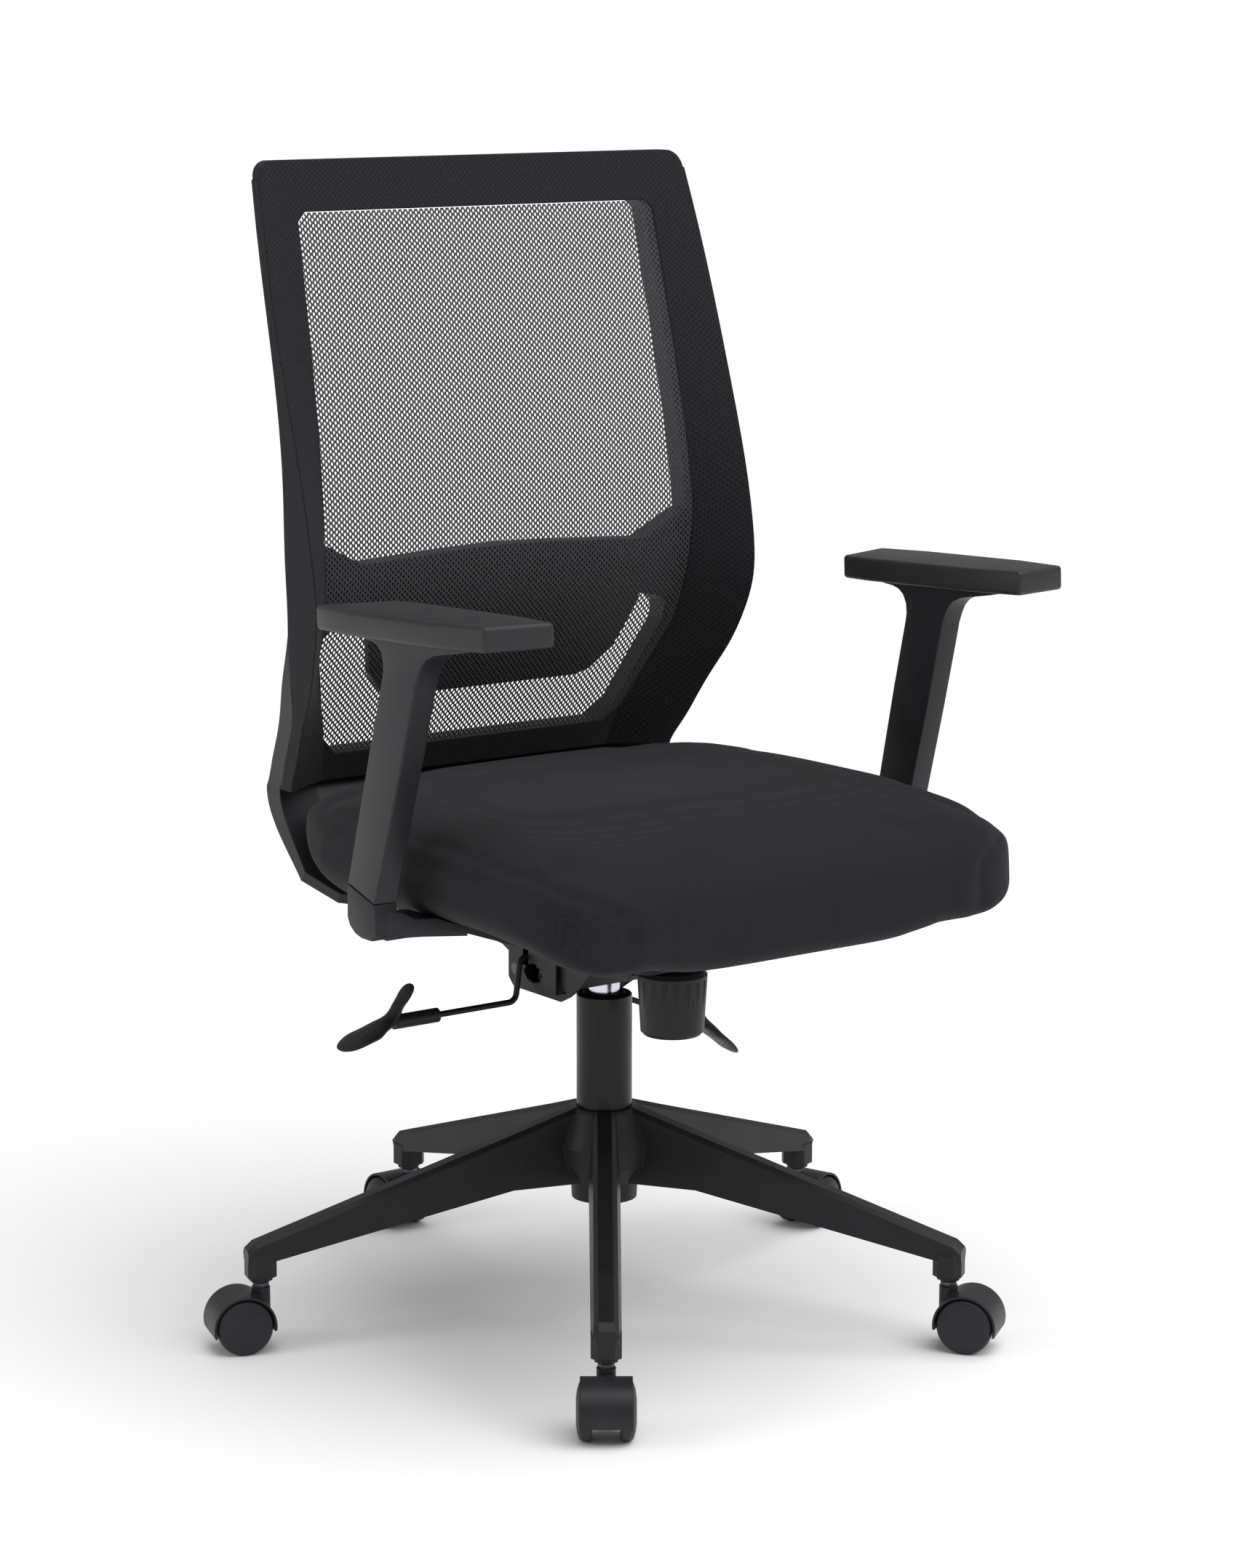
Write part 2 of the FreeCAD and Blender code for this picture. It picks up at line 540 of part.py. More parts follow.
def make_seat_plate():
    plate = new_body("seat_plate")
    pad(plate, outline(sketch(plate, "XY_Plane", "plate_bottom"), [
        ("-plate_half", "plate_front"), ("plate_half", "plate_front"), ("plate_half", "tongue_start - 20"),
        ("tongue_half", "tongue_start"), ("tongue_half", "plate_rear"), ("-tongue_half", "plate_rear"),
        ("-tongue_half", "tongue_start"), ("-plate_half", "tongue_start - 20")]), "plate_thickness")
    opening = outline(sketch(plate, "XY_Plane", "plate_bottom - 1"), [
        ("-plate_half / 2", "-60"), ("plate_half / 2", "-60"), ("plate_half / 2", "54"),
        ("-plate_half / 2", "54")])
    pocket(plate, opening, "plate_thickness + 2", back=True)
    plate_pair(plate, "case_half + 1.5", "flange_thickness", [
        ("front_pivot_y - 10", "front_pivot_z - 9"), ("front_pivot_y + 10", "front_pivot_z - 9"),
        ("front_pivot_y + 16", "plate_bottom + 1"), ("front_pivot_y - 12", "plate_bottom + 1")])
    plate_pair(plate, "tongue_half - flange_thickness", "flange_thickness", [
        ("link_y - 14", "link_z - 11"), ("plate_rear", "link_z - 11"),
        ("plate_rear", "plate_bottom + 1"), ("link_y - 20", "plate_bottom + 1")])
    pivots = circle(sketch(plate, "YZ_Plane"), "front_pivot_y", "front_pivot_z", "front_pin_radius + running")
    pocket(plate, pivots, "plate_half * 4", middle=True)
    slack = "(link_pin_radius + link_play)"
    slot = outline(sketch(plate, "YZ_Plane"), [
        (f"link_y - {slack}", f"link_z - {slack}"), (f"link_y + {slack} + link_travel", f"link_z - {slack}"),
        (f"link_y + {slack} + link_travel", f"link_z + {slack}"), (f"link_y - {slack}", f"link_z + {slack}")])
    pocket(plate, slot, "plate_half * 4", middle=True)


def make_back_bracket():
    bracket = new_body("back_bracket")
    under = "0.4"
    plate_pair(bracket, "bracket_inner", "bracket_thickness", [
        ("rear_pivot_y - 9", "rear_pivot_z - 5"), ("rear_pivot_y - 5", "rear_pivot_z - 9"),
        ("rear_pivot_y + 1", "rear_pivot_z - 8"), ("rear_pivot_y + 5", "rear_pivot_z - 4"),
        ("rear_pivot_y + 16", "rear_pivot_z + 8"), ("rear_pivot_y + 33", "rear_pivot_z + 15"),
        ("rear_pivot_y + 62", "rear_pivot_z + 17"), ("link_y", "link_z - 12"),
        ("192", "scoop_rear_z - 28"), ("192", f"scoop_rear_z - {under}"),
        ("150", f"scoop_middle_z - {under}"), ("118", f"scoop_front_z + 0.8 - {under}"),
        ("107", "scoop_front_z - 16"), ("rear_pivot_y + 20", "rear_pivot_z + 28"),
        ("rear_pivot_y + 2", "rear_pivot_z + 11"), ("rear_pivot_y - 5", "rear_pivot_z + 9"),
        ("rear_pivot_y - 9", "rear_pivot_z + 5")])
    cross = outline(sketch(bracket, "YZ_Plane"), [
        ("152", f"scoop_middle_z - {under} - 4.5"), ("192", f"scoop_rear_z - {under} - 4.5"),
        ("192", f"scoop_rear_z - {under}"), ("152", f"scoop_middle_z + 0.8 - {under}")])
    pad(bracket, cross, "bracket_inner * 2 + bracket_thickness * 2 + 50", middle=True)
    lower = outline(sketch(bracket, "YZ_Plane"), [
        ("rear_pivot_y + 34", "rear_pivot_z + 15"), ("rear_pivot_y + 60", "rear_pivot_z + 17"),
        ("rear_pivot_y + 60", "rear_pivot_z + 20"), ("rear_pivot_y + 34", "rear_pivot_z + 18")])
    pad(bracket, lower, "bracket_inner * 2 + 2", middle=True)
    holes = sketch(bracket, "YZ_Plane")
    circle(holes, "rear_pivot_y", "rear_pivot_z", "rear_pin_radius + running")
    circle(holes, "link_y", "link_z", "link_pin_radius")
    pocket(bracket, holes, "bracket_inner * 4", middle=True)
    keep(rod("link_pin_radius", "bracket_inner * 2 + 14", 0, "link_y", "link_z", "X"), "link_pin")


def make_tension_adjuster():
    knob = turned("tension_knob", [
        ("0", "knob_bottom"), ("knob_tip_radius - 3", "knob_bottom"), ("knob_tip_radius", "knob_bottom + 3"),
        ("knob_radius", "knob_top - 4"), ("knob_radius - 3", "knob_top"), ("screw_radius", "knob_top"),
        ("screw_radius", "knob_bottom + 12"), ("0", "knob_bottom + 12")])
    flute = circle(sketch(knob, "XY_Plane", "knob_bottom - 1"), "knob_radius + 0.8", "0", "flute_radius")
    cut = pocket(knob, flute, "knob_top - knob_bottom - 6", back=True)
    repeat_round(knob, [cut], "flute_count")
    place(knob, y="knob_y")
    length = "case_front_top - 5 - knob_bottom - 12"
    keep(rod("screw_radius", length, 0, "knob_y", f"knob_bottom + 12 + ({length}) / 2"), "tension_screw")
    keep(block(("-53", "-37.5", "case_bottom + 4"), ("53", "-33.5", "case_bottom + 26")), "spring_plate")
    coil = Part.makeHelix(8, 40, size("spring_radius - spring_wire / 2"))
    start = Vector(size("spring_radius - spring_wire / 2"), 0, 0)
    wire = Part.Wire(Part.Circle(start, Vector(0, 1, 0.12), size("spring_wire / 2")).toShape())
    spring = Part.Wire(coil.Edges).makePipeShell([wire], True, True)
    springs = []
    for side in (1, -1):
        copy = spring.copy()
        spot = Vector(side * 40, -30, size("case_bottom + 16.5"))
        copy.Placement = Placement(spot, Rotation(Vector(1, 0, 0), -90))
        springs.append(copy)
    free_shape("tension_springs", Part.makeCompound(springs))


# ---- Levers -------------------------------------------------------------------------------

# The paddle's middle line from its lower tip to its upper tip, outward of the rod's end:
# distance out, height, half width and half thickness.
PADDLE = [
    (53, -20, 4, 0.8), (50, -19, 11, 1.7), (42, -16, 17, 2.6), (31, -12, 19, 3.2), (18, -7.5, 16.5, 4),
    (7, -3, 11, 5), (0, 1, 8, 5.5), (-5, 8, 7, 4.6), (-10, 15, 8.5, 3.4), (-15, 21.5, 9.5, 2.6),
    (-19, 26.5, 7.5, 1.9), (-21, 29, 2.5, 0.8)]


def paddle_shape(side, reach, outer_y):
    """The two-lobed paddle: flat oval sections strung along its middle line."""
    rings = []
    for n, (out, up, half, thick) in enumerate(PADDLE):
        before, after = PADDLE[max(n - 1, 0)], PADDLE[min(n + 1, len(PADDLE) - 1)]
        along = Vector(side * (after[0] - before[0]), 0, after[1] - before[1]).normalize()
        across = Vector(0, 1, 0)
        normal = along.cross(across)
        middle = Vector(side * (size(f"{reach} + 14") + out), size(outer_y), size("lever_z + 3") + up)
        ring = []
        for turn in range(12):
            angle = math.radians(turn * 30 + 15)
            ring.append(middle + across * (half * math.cos(angle)) + normal * (thick * math.sin(angle)))
        rings.append(ring)
    return skin(rings)


def make_lever(name, side, pawl, droop):
    """A bent wire lever with a two-lobed paddle, hung on a pivot along Y inside the case."""
    inner_y, outer_y = f"{name}_lever_y", f"{name}_lever_out_y"
    leg, reach = f"{name}_leg_x", f"{name}_reach"
    pivot = Vector(side * size("lever_pivot_x"), 0, size("lever_pivot_z"))
    hang = Placement(Vector(), Rotation(Vector(0, 1, 0), side * droop), pivot)
    low = size("lever_z")
    knee = side * size("case_half + lever_rod_radius + 3") if side < 0 else side * size(leg)
    route = [
        Vector(pivot.x, size(inner_y), pivot.z), Vector(knee, size(inner_y), pivot.z - 2),
        Vector(side * size(leg), size(outer_y), low), Vector(side * size(reach), size(outer_y), low)]
    wire = bent_rod(route, size("lever_rod_radius"), size("lever_bend"))
    shaft = Part.makeCylinder(5, 18, Vector(pivot.x, size(inner_y) - 9, pivot.z), Vector(0, 1, 0))
    crank = wire.fuse([shaft] + pawl).removeSplitter()
    free_shape(name + "_lever_rod", crank, hang)

    collar = rod("collar_radius", "collar_length", f"{side} * ({reach} - collar_length / 2 + 12)",
                 outer_y, "lever_z", "X")
    socket = rod("lever_rod_radius", "100", f"{side} * ({reach} - 50)", outer_y, "lever_z", "X")
    blade = doc.addObject("Part::Feature", "Blade")
    blade.Shape = paddle_shape(side, reach, outer_y)
    hollow = doc.addObject("Part::Cut", "Collar")
    solid = doc.addObject("Part::Fuse", "Paddle")
    solid.Base = collar
    solid.Tool = blade
    hollow.Base = solid
    hollow.Tool = socket
    hollow.Placement = hang
    keep(hollow, name + "_lever_paddle")


def make_levers():
    top = size("gas_top + pin_proud + 0.3")
    arm_y = size("height_lever_y")
    pivot_x, pivot_z = size("lever_pivot_x"), size("lever_pivot_z")
    finger = [
        Part.makeBox(6, 8, top + 3 - pivot_z, Vector(-pivot_x - 3, arm_y - 8, pivot_z)),
        Part.makeBox(6, arm_y + 5, 3, Vector(-pivot_x - 3, -5, top)),
        Part.makeBox(pivot_x + 6, 10, 3, Vector(-pivot_x - 3, -5, top))]
    make_lever("height", -1, finger, 0)
    lock_y = size("lock_lever_y")
    latch = [Part.makeBox(6, 12, 9, Vector(pivot_x - 3, lock_y - 6, pivot_z))]
    make_lever("lock", 1, latch, size("lock_lever_droop"))


# ---- Seat ---------------------------------------------------------------------------------

def seat_floor(y):
    """Height of the cushion's underside on the middle line, and how far its sides rise."""
    base = size("pan_bottom + pan_thickness + cushion_gap")
    middle = smooth([(-302, 52), (-299, 34), (-293, 16), (-285, 7), (-270, 4), (-215, 3), (-195, 0), (100, 0),
                     (150, 26), (202, 68)], y)
    rise = smooth([(-302, 4), (-285, 16), (-262, 24), (-190, 35), (-120, size("pan_rise")),
                   (110, size("pan_rise")), (202, 8)], y)
    return base + middle, rise


def pan_section(y, half):
    floor, rise = seat_floor(y)
    break_x = size("pan_half") / 2
    lift = rise * (half - break_x) / break_x
    low = size("cushion_gap + pan_thickness")
    high = size("cushion_gap")
    under = [(-half, floor + lift), (-break_x, floor), (break_x, floor), (half, floor + lift)]
    bottom = [Vector(x, y, z - low) for x, z in under]
    top = [Vector(x, y, z - high) for x, z in reversed(under)]
    return bottom + top


def cushion_section(y):
    floor, rise = seat_floor(y)
    half = smooth([(-302, 176), (-299, 204), (-293, 222), (-282, 238), (-268, 248), (-250, 254), (-200, 256),
                   (-60, 252), (100, 240), (160, 218), (202, 176)], y)
    top = smooth([(-302, 440), (-299, 456), (-293, 466), (-280, 474), (-250, 481), (-200, 486), (-120, 489),
                  (60, 489), (120, 486), (185, 477), (202, 464)], y)
    break_x = size("pan_half") / 2
    shoulder = min(size("pan_half"), half * 0.86)
    low = floor + rise * (shoulder - break_x) / break_x
    edge = (low + top) / 2
    right = [(break_x, floor), (shoulder, low), (half * 0.95, low + (edge - low) * 0.25), (half, edge - 6),
             (half - 1.5, edge + (top - edge) * 0.45), (half - 9, top - (top - edge) * 0.25),
             (half - 24, top - 1.5), (half - 70, top)]
    left = [(-x, z) for x, z in reversed(right)]
    return [Vector(x, y, z) for x, z in right + left]


def make_seat():
    half = "pan_half"
    halves = [(-215, f"{half} - 24"), (-207, f"{half} - 18"), (-195, f"{half} - 12"), (-190, f"{half} - 8"),
              (-155, f"{half} - 1"), (-120, half), (0, half), (100, f"{half} - 6")]
    free_shape("seat_pan", skin([pan_section(y, size(reach)) for y, reach in halves], straight=True))
    rows = [-302, -299, -293, -285, -278, -270, -256, -240]
    rows += [y for y, reach in halves] + [120, 140, 160, 178, 192, 199, 202]
    free_shape("seat_cushion", skin([cushion_section(y) for y in rows], straight=True))
    bolts = []
    for x in (-75, 75):
        for y in (-85, 75):
            bolts.append(rod("6", "4", x, y, "plate_bottom - 2"))
            bolts.append(rod("3", "11", x, y, "plate_bottom + 5.5"))
    group("seat_screws", fused_pairs(bolts))


def fused_pairs(items):
    """Each head with its shank as one solid."""
    pairs = []
    for head, shank in zip(items[::2], items[1::2]):
        bolt = doc.addObject("Part::Fuse", "Bolt")
        bolt.Base = head
        bolt.Tool = shank
        pairs.append(bolt)
    return pairs


# ---- Back ---------------------------------------------------------------------------------

# Each curve gives one measure of the back at a height, in millimetres.
HALF_WIDTH = [(476, 211), (540, 223), (640, 239), (720, 241.5), (900, 240), (975, 235), (1036, 230)]
FRONT_EDGE = [(476, 186), (540, 146), (600, 108), (655, 93), (740, 107), (880, 150), (960, 174), (1036, 198)]
REAR_EDGE = [(476, 229), (540, 187), (593, 163), (655, 146), (698, 143.5), (744, 143.5), (798, 148),
             (851, 157), (906, 170), (975, 192), (1036, 210)]
SHELL_STRIP = [(476, 23), (540, 23), (600, 11), (650, 4), (700, 0)]
MESH_PLANE = [(476, 218), (504, 208), (560, 181), (606, 158), (650, 143), (706, 138), (780, 147), (880, 167),
              (990, 192), (1036, 201)]
OPENING_HALF = [(476, 160), (504, 163), (604, 196), (706, 203), (991, 193), (1036, 190)]
SHELL_INSET = [(590, 0), (680, 14)]


def back_numbers(z):
    """Half width, front edge, seam, rear edge, mesh plane and opening half width at a height."""
    half, front, rear = smooth(HALF_WIDTH, z), smooth(FRONT_EDGE, z), smooth(REAR_EDGE, z)
    seam = rear - smooth(SHELL_STRIP, z)
    return half, front, seam, rear, smooth(MESH_PLANE, z), smooth(OPENING_HALF, z)


def closed_plate(front, rear, z):
    """A section from right-hand (x, y) points of its front and rear faces, mirrored in X."""
    path = [(-x, y) for x, y in reversed(front)] + front + list(reversed(rear)) + [(-x, y) for x, y in rear]
    return [Vector(x, y, z) for x, y in path]


def carrier_section(z):
    half, front, seam, _, plane, opening = back_numbers(z)
    back = plane + size("carrier_depth")
    return closed_plate([(opening, plane), (half, front)], [(opening, back), (half, seam)], z)


def shell_section(z):
    half, _, seam, rear, plane, opening = back_numbers(z)
    joint = size("back_joint")
    inset = smooth(SHELL_INSET, z)
    edge = half - inset
    back = plane + size("carrier_depth")
    along = (edge - opening) / (half - opening)
    side_front = back + (seam - back) * along + joint
    side_rear = max(rear, side_front + size("shell_edge")) if inset == 0 else side_front + size("shell_edge")
    deep = back + size("shell_depth")
    return closed_plate([(opening - 8, back + joint), (opening, back + joint), (edge, side_front)],
                        [(opening - 8, deep), (opening, deep - 2), (edge, side_rear)], z)


def scoop_section(rear, front, half, bow):
    """A section across the scoop between an outer and an inner point, bowed back in the middle."""
    inner, waist = half * 0.78, half * 0.74
    shift = Vector(0, bow, 0)
    outer = Vector(0, rear[0], size(rear[1]))
    inside = Vector(0, front[0], size(front[1]))
    across = [-half, -inner, -waist, waist, inner, half]
    fore = [Vector(x, 0, 0) + inside + (shift if abs(x) < half else Vector()) for x in across]
    aft = [Vector(x, 0, 0) + outer + (shift if abs(x) < half else Vector()) for x in reversed(across)]
    return fore + aft


def window_outline(name):
    low, high = size("lower_window_bottom"), size("upper_window_top")
    sill, lintel = size("rail_top"), size("rail_bottom")
    if name == "carrier":
        right = [(150, low), (167, low + 16), (smooth(OPENING_HALF, 604), 600),
                 (smooth(OPENING_HALF, 706), 706),
                 (smooth(OPENING_HALF, high), high - 8), (smooth(OPENING_HALF, high) - 8, high)]
    elif name == "upper":
        right = [(0, sill), (60, sill - 2), (155, sill - 7), (smooth(OPENING_HALF, 706), 706),
                 (smooth(OPENING_HALF, high), high - 8), (smooth(OPENING_HALF, high) - 8, high)]
    else:
        right = [(150, low), (167, low + 16), (smooth(OPENING_HALF, 604) - 3, 600),
                 (smooth(OPENING_HALF, 604) - 6, 616), (180, lintel - 4), (158, lintel)]
    return mirrored(right)


def make_back():
    heights = [476, 500, 525, 550, 580, 610, 645, 690, 750, 820, 890, 960, 1005, 1036]
    opening = prism_y(window_outline("carrier"))
    carrier = skin([carrier_section(z) for z in heights]).cut(opening)
    corner = size("back_corner")
    trim = back_corner_trim(corner)
    free_shape("mesh_carrier", carrier.cut(trim))

    upper = skin([shell_section(z) for z in heights[:-1] + [1029]])
    upper = upper.cut([prism_y(window_outline("upper")), prism_y(window_outline("lower"))]).cut(trim)
    last = shell_section(476)
    bend = [last] + [
        scoop_section((226, 452), (206, 458), 209, 9),
        scoop_section((209, 420), (197, 430), 204, 4)]
    sole = [
        scoop_section((187, "scoop_rear_z"), (180, "scoop_rear_z + 9"), 202, 0),
        scoop_section((150, "scoop_middle_z"), (147, "scoop_middle_z + 9"), 186, 0),
        scoop_section((113, "scoop_front_z"), (113, "scoop_front_z + 8"), 128, 0)]
    scoop = skin(bend + sole[:1]).fuse(skin(sole, straight=True))
    free_shape("back_shell", upper.fuse(scoop).removeSplitter())

    thin = size("mesh_thickness")
    lead = size("mesh_lead")
    sheets = []
    for z in heights:
        plane, half = smooth(MESH_PLANE, z) + lead, smooth(OPENING_HALF, z) + 20
        sheets.append([Vector(-half, plane, z), Vector(half, plane, z),
                       Vector(half, plane + thin, z), Vector(-half, plane + thin, z)])
    inside = prism_y(window_outline("carrier"))
    inside.scale(0.997, Vector(0, 200, 750))
    free_shape("back_mesh", skin(sheets).common(inside))

    levels = [548, 580, 610, 645, 680]
    slab = []
    for z in levels:
        plane = smooth(MESH_PLANE, z) + lead + thin + 0.6
        half = smooth([(548, 122), (580, 140), (625, 155), (680, 160)], z)
        slab.append([Vector(-half, plane, z), Vector(half, plane, z),
                     Vector(half, plane + 7, z), Vector(-half, plane + 7, z)])
    pad_outline = mirrored([(100, 553), (116, 558), (135, 579), (150, 625), (140, 655), (107, 670), (50, 677),
                            (0, 678.5)])
    free_shape("lumbar_pad", skin(slab).common(prism_y(pad_outline)))
    bolts = []
    for x in (-45, 45):
        for y, z in ((160, size("scoop_middle_z + 5")), (183, size("scoop_rear_z"))):
            bolts.append(rod("6.5", "3.5", x, y, str(z + 9)))
            bolts.append(rod("3", "20", x, y, str(z)))
    group("back_screws", fused_pairs(bolts))


def back_corner_trim(radius):
    """What rounding the two upper corners takes away, as a solid along Y."""
    top, half = 1036, smooth(HALF_WIDTH, 1036)
    pieces = []
    for side in (1, -1):
        centre = Vector(side * (half - radius), 0, top - radius)
        near = min(centre.x, centre.x + side * (radius + 20))
        square = Part.makeBox(radius + 20, 400, radius + 20, Vector(near, 0, centre.z))
        drum = Part.makeCylinder(radius, 400, Vector(centre.x, 0, centre.z), Vector(0, 1, 0))
        pieces.append(square.cut(drum))
    return Part.makeCompound(pieces)


# ---- Arms ---------------------------------------------------------------------------------

def leant(y, z):
    """A (y, z) point of the chair in the leaning post's own frame, as expressions."""
    dy, dz = f"(({y}) - seam_y)", f"(({z}) - seam_z)"
    return (f"{dy} * cos(post_lean) + {dz} * sin(post_lean)",
            f"{dz} * cos(post_lean) - {dy} * sin(post_lean)")


def make_arm(side, name):
    tilt = Rotation(Vector(0, 1, 0), -side * size("post_inward"))
    lean = Rotation(Vector(1, 0, 0), size("post_lean"))
    spot = Placement(Vector(side * size("arm_x"), size("seam_y"), size("seam_z")), tilt.multiply(lean))

    bar_line = [("bar_inner_x", "367.6"), ("107", "367.6"), ("elbow_inner_x", "elbow_bottom + 1.4"),
                ("arm_x - 6", "elbow_bottom + 8.6")]
    bar_corners = [(f"{side} * ({x})", z) for x, z in bar_line]
    bar_corners += [(x, f"{z} - bar_thickness") for x, z in reversed(bar_corners)]
    bar = new_body(f"arm_bar_{name}")
    pad(bar, outline(sketch(bar, "XZ_Plane", "-leg_y"), bar_corners), "bar_width", middle=True)

    bracket = new_body(f"arm_bracket_{name}")
    leg = [("elbow_inner_x", "elbow_bottom - 6.5"), ("arm_x - 36", "elbow_bottom - 1.2"),
           ("arm_x - 20", "elbow_bottom"), ("arm_x", "elbow_bottom"), ("arm_x", "leg_top + 4"),
           ("arm_x - 16", "leg_top + 2"), ("arm_x - 28", "leg_top - 5"), ("arm_x - 50", "elbow_bottom + 13"),
           ("arm_x - 66", "elbow_bottom + 7"), ("elbow_inner_x", "elbow_bottom + 1.6")]
    pad(bracket, outline(sketch(bracket, "XZ_Plane", "-leg_y"), [(f"{side} * ({x})", z) for x, z in leg]),
        "bar_width + 4", middle=True)
    foot = outline(sketch(bracket, "YZ_Plane", f"{side} * (arm_x - sleeve_thickness / 2)"), [
        ("leg_y", "elbow_bottom"), ("leg_y - 16", "elbow_bottom"), ("leg_y - 22", "elbow_bottom + 6"),
        ("seam_y - sleeve_foot / 2 * cos(post_lean)", "seam_z - sleeve_foot / 2 * sin(post_lean)"),
        ("seam_y + sleeve_foot / 2 * cos(post_lean)", "seam_z + sleeve_foot / 2 * sin(post_lean)"),
        ("leg_y + 21.5", "elbow_bottom + 15"), ("leg_y + 18", "elbow_bottom + 8"),
        ("leg_y + 10", "elbow_bottom + 2.5")])
    pad(bracket, foot, "sleeve_thickness", back=side < 0)
    post = sketch(bracket, "YZ_Plane")
    post.AttachmentOffset = Placement(
        Vector(size("seam_y"), size("seam_z"), side * size("arm_x")),
        Rotation(Vector(1, 0, 0), -side * size("post_inward")).multiply(
            Rotation(Vector(0, 0, 1), size("post_lean"))))
    outline(post, [("-post_depth / 2", "-12"), ("post_depth / 2", "-12"),
                   ("post_depth / 2", "post_length"), ("-post_depth / 2", "post_length")])
    pad(bracket, post, "post_thickness", middle=True)
    channel = outline(sketch(bracket, "XZ_Plane", "-leg_y"), bar_corners)
    pocket(bracket, channel, "bar_width", middle=True)

    sleeve = new_body(f"arm_sleeve_{name}")
    half = "sleeve_foot / 2"
    shaft = outline(sketch(sleeve, "YZ_Plane"), [
        (f"-{half}", "0.4"), (half, "0.4"), (f"{half} + 2.4", "120"), (f"{half} + 2.6", "190"),
        (f"-{half} - 2.6", "190"), (f"-{half} - 2.4", "120")])
    pad(sleeve, shaft, "sleeve_thickness", middle=True)
    under = "(pad_z - 0.3)"
    rise = "tan(pad_tilt)"
    head = [leant("flare_front", f"{under} + {rise} * (pad_middle - flare_front)"),
            leant("flare_front + 2", f"{under} + {rise} * (pad_middle - flare_front) - 3.5"),
            leant("-181", "656"), leant("-162", "653"), leant("-151", "646"), leant("-144", "635"),
            leant("-138", "614.8"), leant("-125", "606"), leant("-98", "612"),
            leant("-91.2", "627.5"), leant("-90.5", "639"), leant("-86", "647"),
            leant("-77", "652"), leant("flare_rear", "654.5"),
            leant("flare_rear", f"{under} + {rise} * (pad_middle - flare_rear)")]
    pad(sleeve, outline(sketch(sleeve, "YZ_Plane"), head), "sleeve_thickness", middle=True)
    gap = "0.3"
    bore = outline(sketch(sleeve, "YZ_Plane"), [
        (f"-post_depth / 2 - {gap}", "-5"), (f"post_depth / 2 + {gap}", "-5"),
        (f"post_depth / 2 + {gap}", "post_length + 2"), (f"-post_depth / 2 - {gap}", "post_length + 2")])
    pocket(sleeve, bore, f"post_thickness + {gap} * 2", middle=True)
    front = sketch(sleeve, "XZ_Plane", "-post_depth / 2")
    pocket(sleeve, circle(front, "0", "button_height", "arm_button_radius + running"), "30")
    sleeve.Placement = spot

    button = new_body(f"arm_button_{name}")
    face = sketch(button, "XZ_Plane", "-post_depth / 2 - 2.8")
    stem = circle(face, "0", "button_height", "arm_button_radius")
    pad(button, stem, "sleeve_foot / 2 - post_depth / 2 + 1.6", back=True)
    button.Placement = spot

    rest = new_body(f"arm_pad_{name}")
    corners = [("pad_inner + 9", "pad_front - 3"), ("pad_outer - 9", "pad_front + 9"),
               ("pad_outer", "pad_front + 70"), ("pad_outer", "pad_rear - 60"), ("pad_outer - 8", "pad_rear"),
               ("pad_inner + 4", "pad_rear - 26"), ("pad_inner", "pad_rear - 60"),
               ("pad_inner + 2", "pad_front + 50")]
    drawn = outline(sketch(rest, "XY_Plane"),
                    [(f"{side} * ({x})", f"{y} - pad_middle") for x, y in corners])
    pad(rest, drawn, "pad_thickness")
    place(rest, y="pad_middle", z="pad_z", turn=(1, 0, 0), angle=-size("pad_tilt"))


def make_arms():
    make_arm(1, "left")
    make_arm(-1, "right")


# ---- Build, check and write ---------------------------------------------------------------

MAKERS = [
    make_base_star, make_column, make_case, make_seat_plate, make_back_bracket, make_tension_adjuster,
    make_levers, make_seat, make_back, make_arms]


def check(item):
    if any(word in item.State for word in ("Invalid", "Error")):
        raise RuntimeError(f"{item.Label} failed: {item.State}")


def main():
    for maker in MAKERS:
        maker()
    for number in range(int(size("arm_count"))):
        make_castor(number + 1)
    doc.recompute()
    for item in doc.Objects:
        check(item)
    os.makedirs("parts", exist_ok=True)
    for item in PARTS:
        if item.Shape.isNull() or not item.Shape.isValid():
            raise RuntimeError(f"{item.Label} has no valid shape")
        item.Shape.exportStep(f"parts/{item.Label}.step")
        print(f"{item.Label:32s} {item.Shape.Volume / 1000:9.2f} cm3  {len(item.Shape.Solids)} solid")


main()
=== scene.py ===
import bmesh
import bpy
import json
import math
import numpy as np
from mathutils import Matrix, Vector, noise

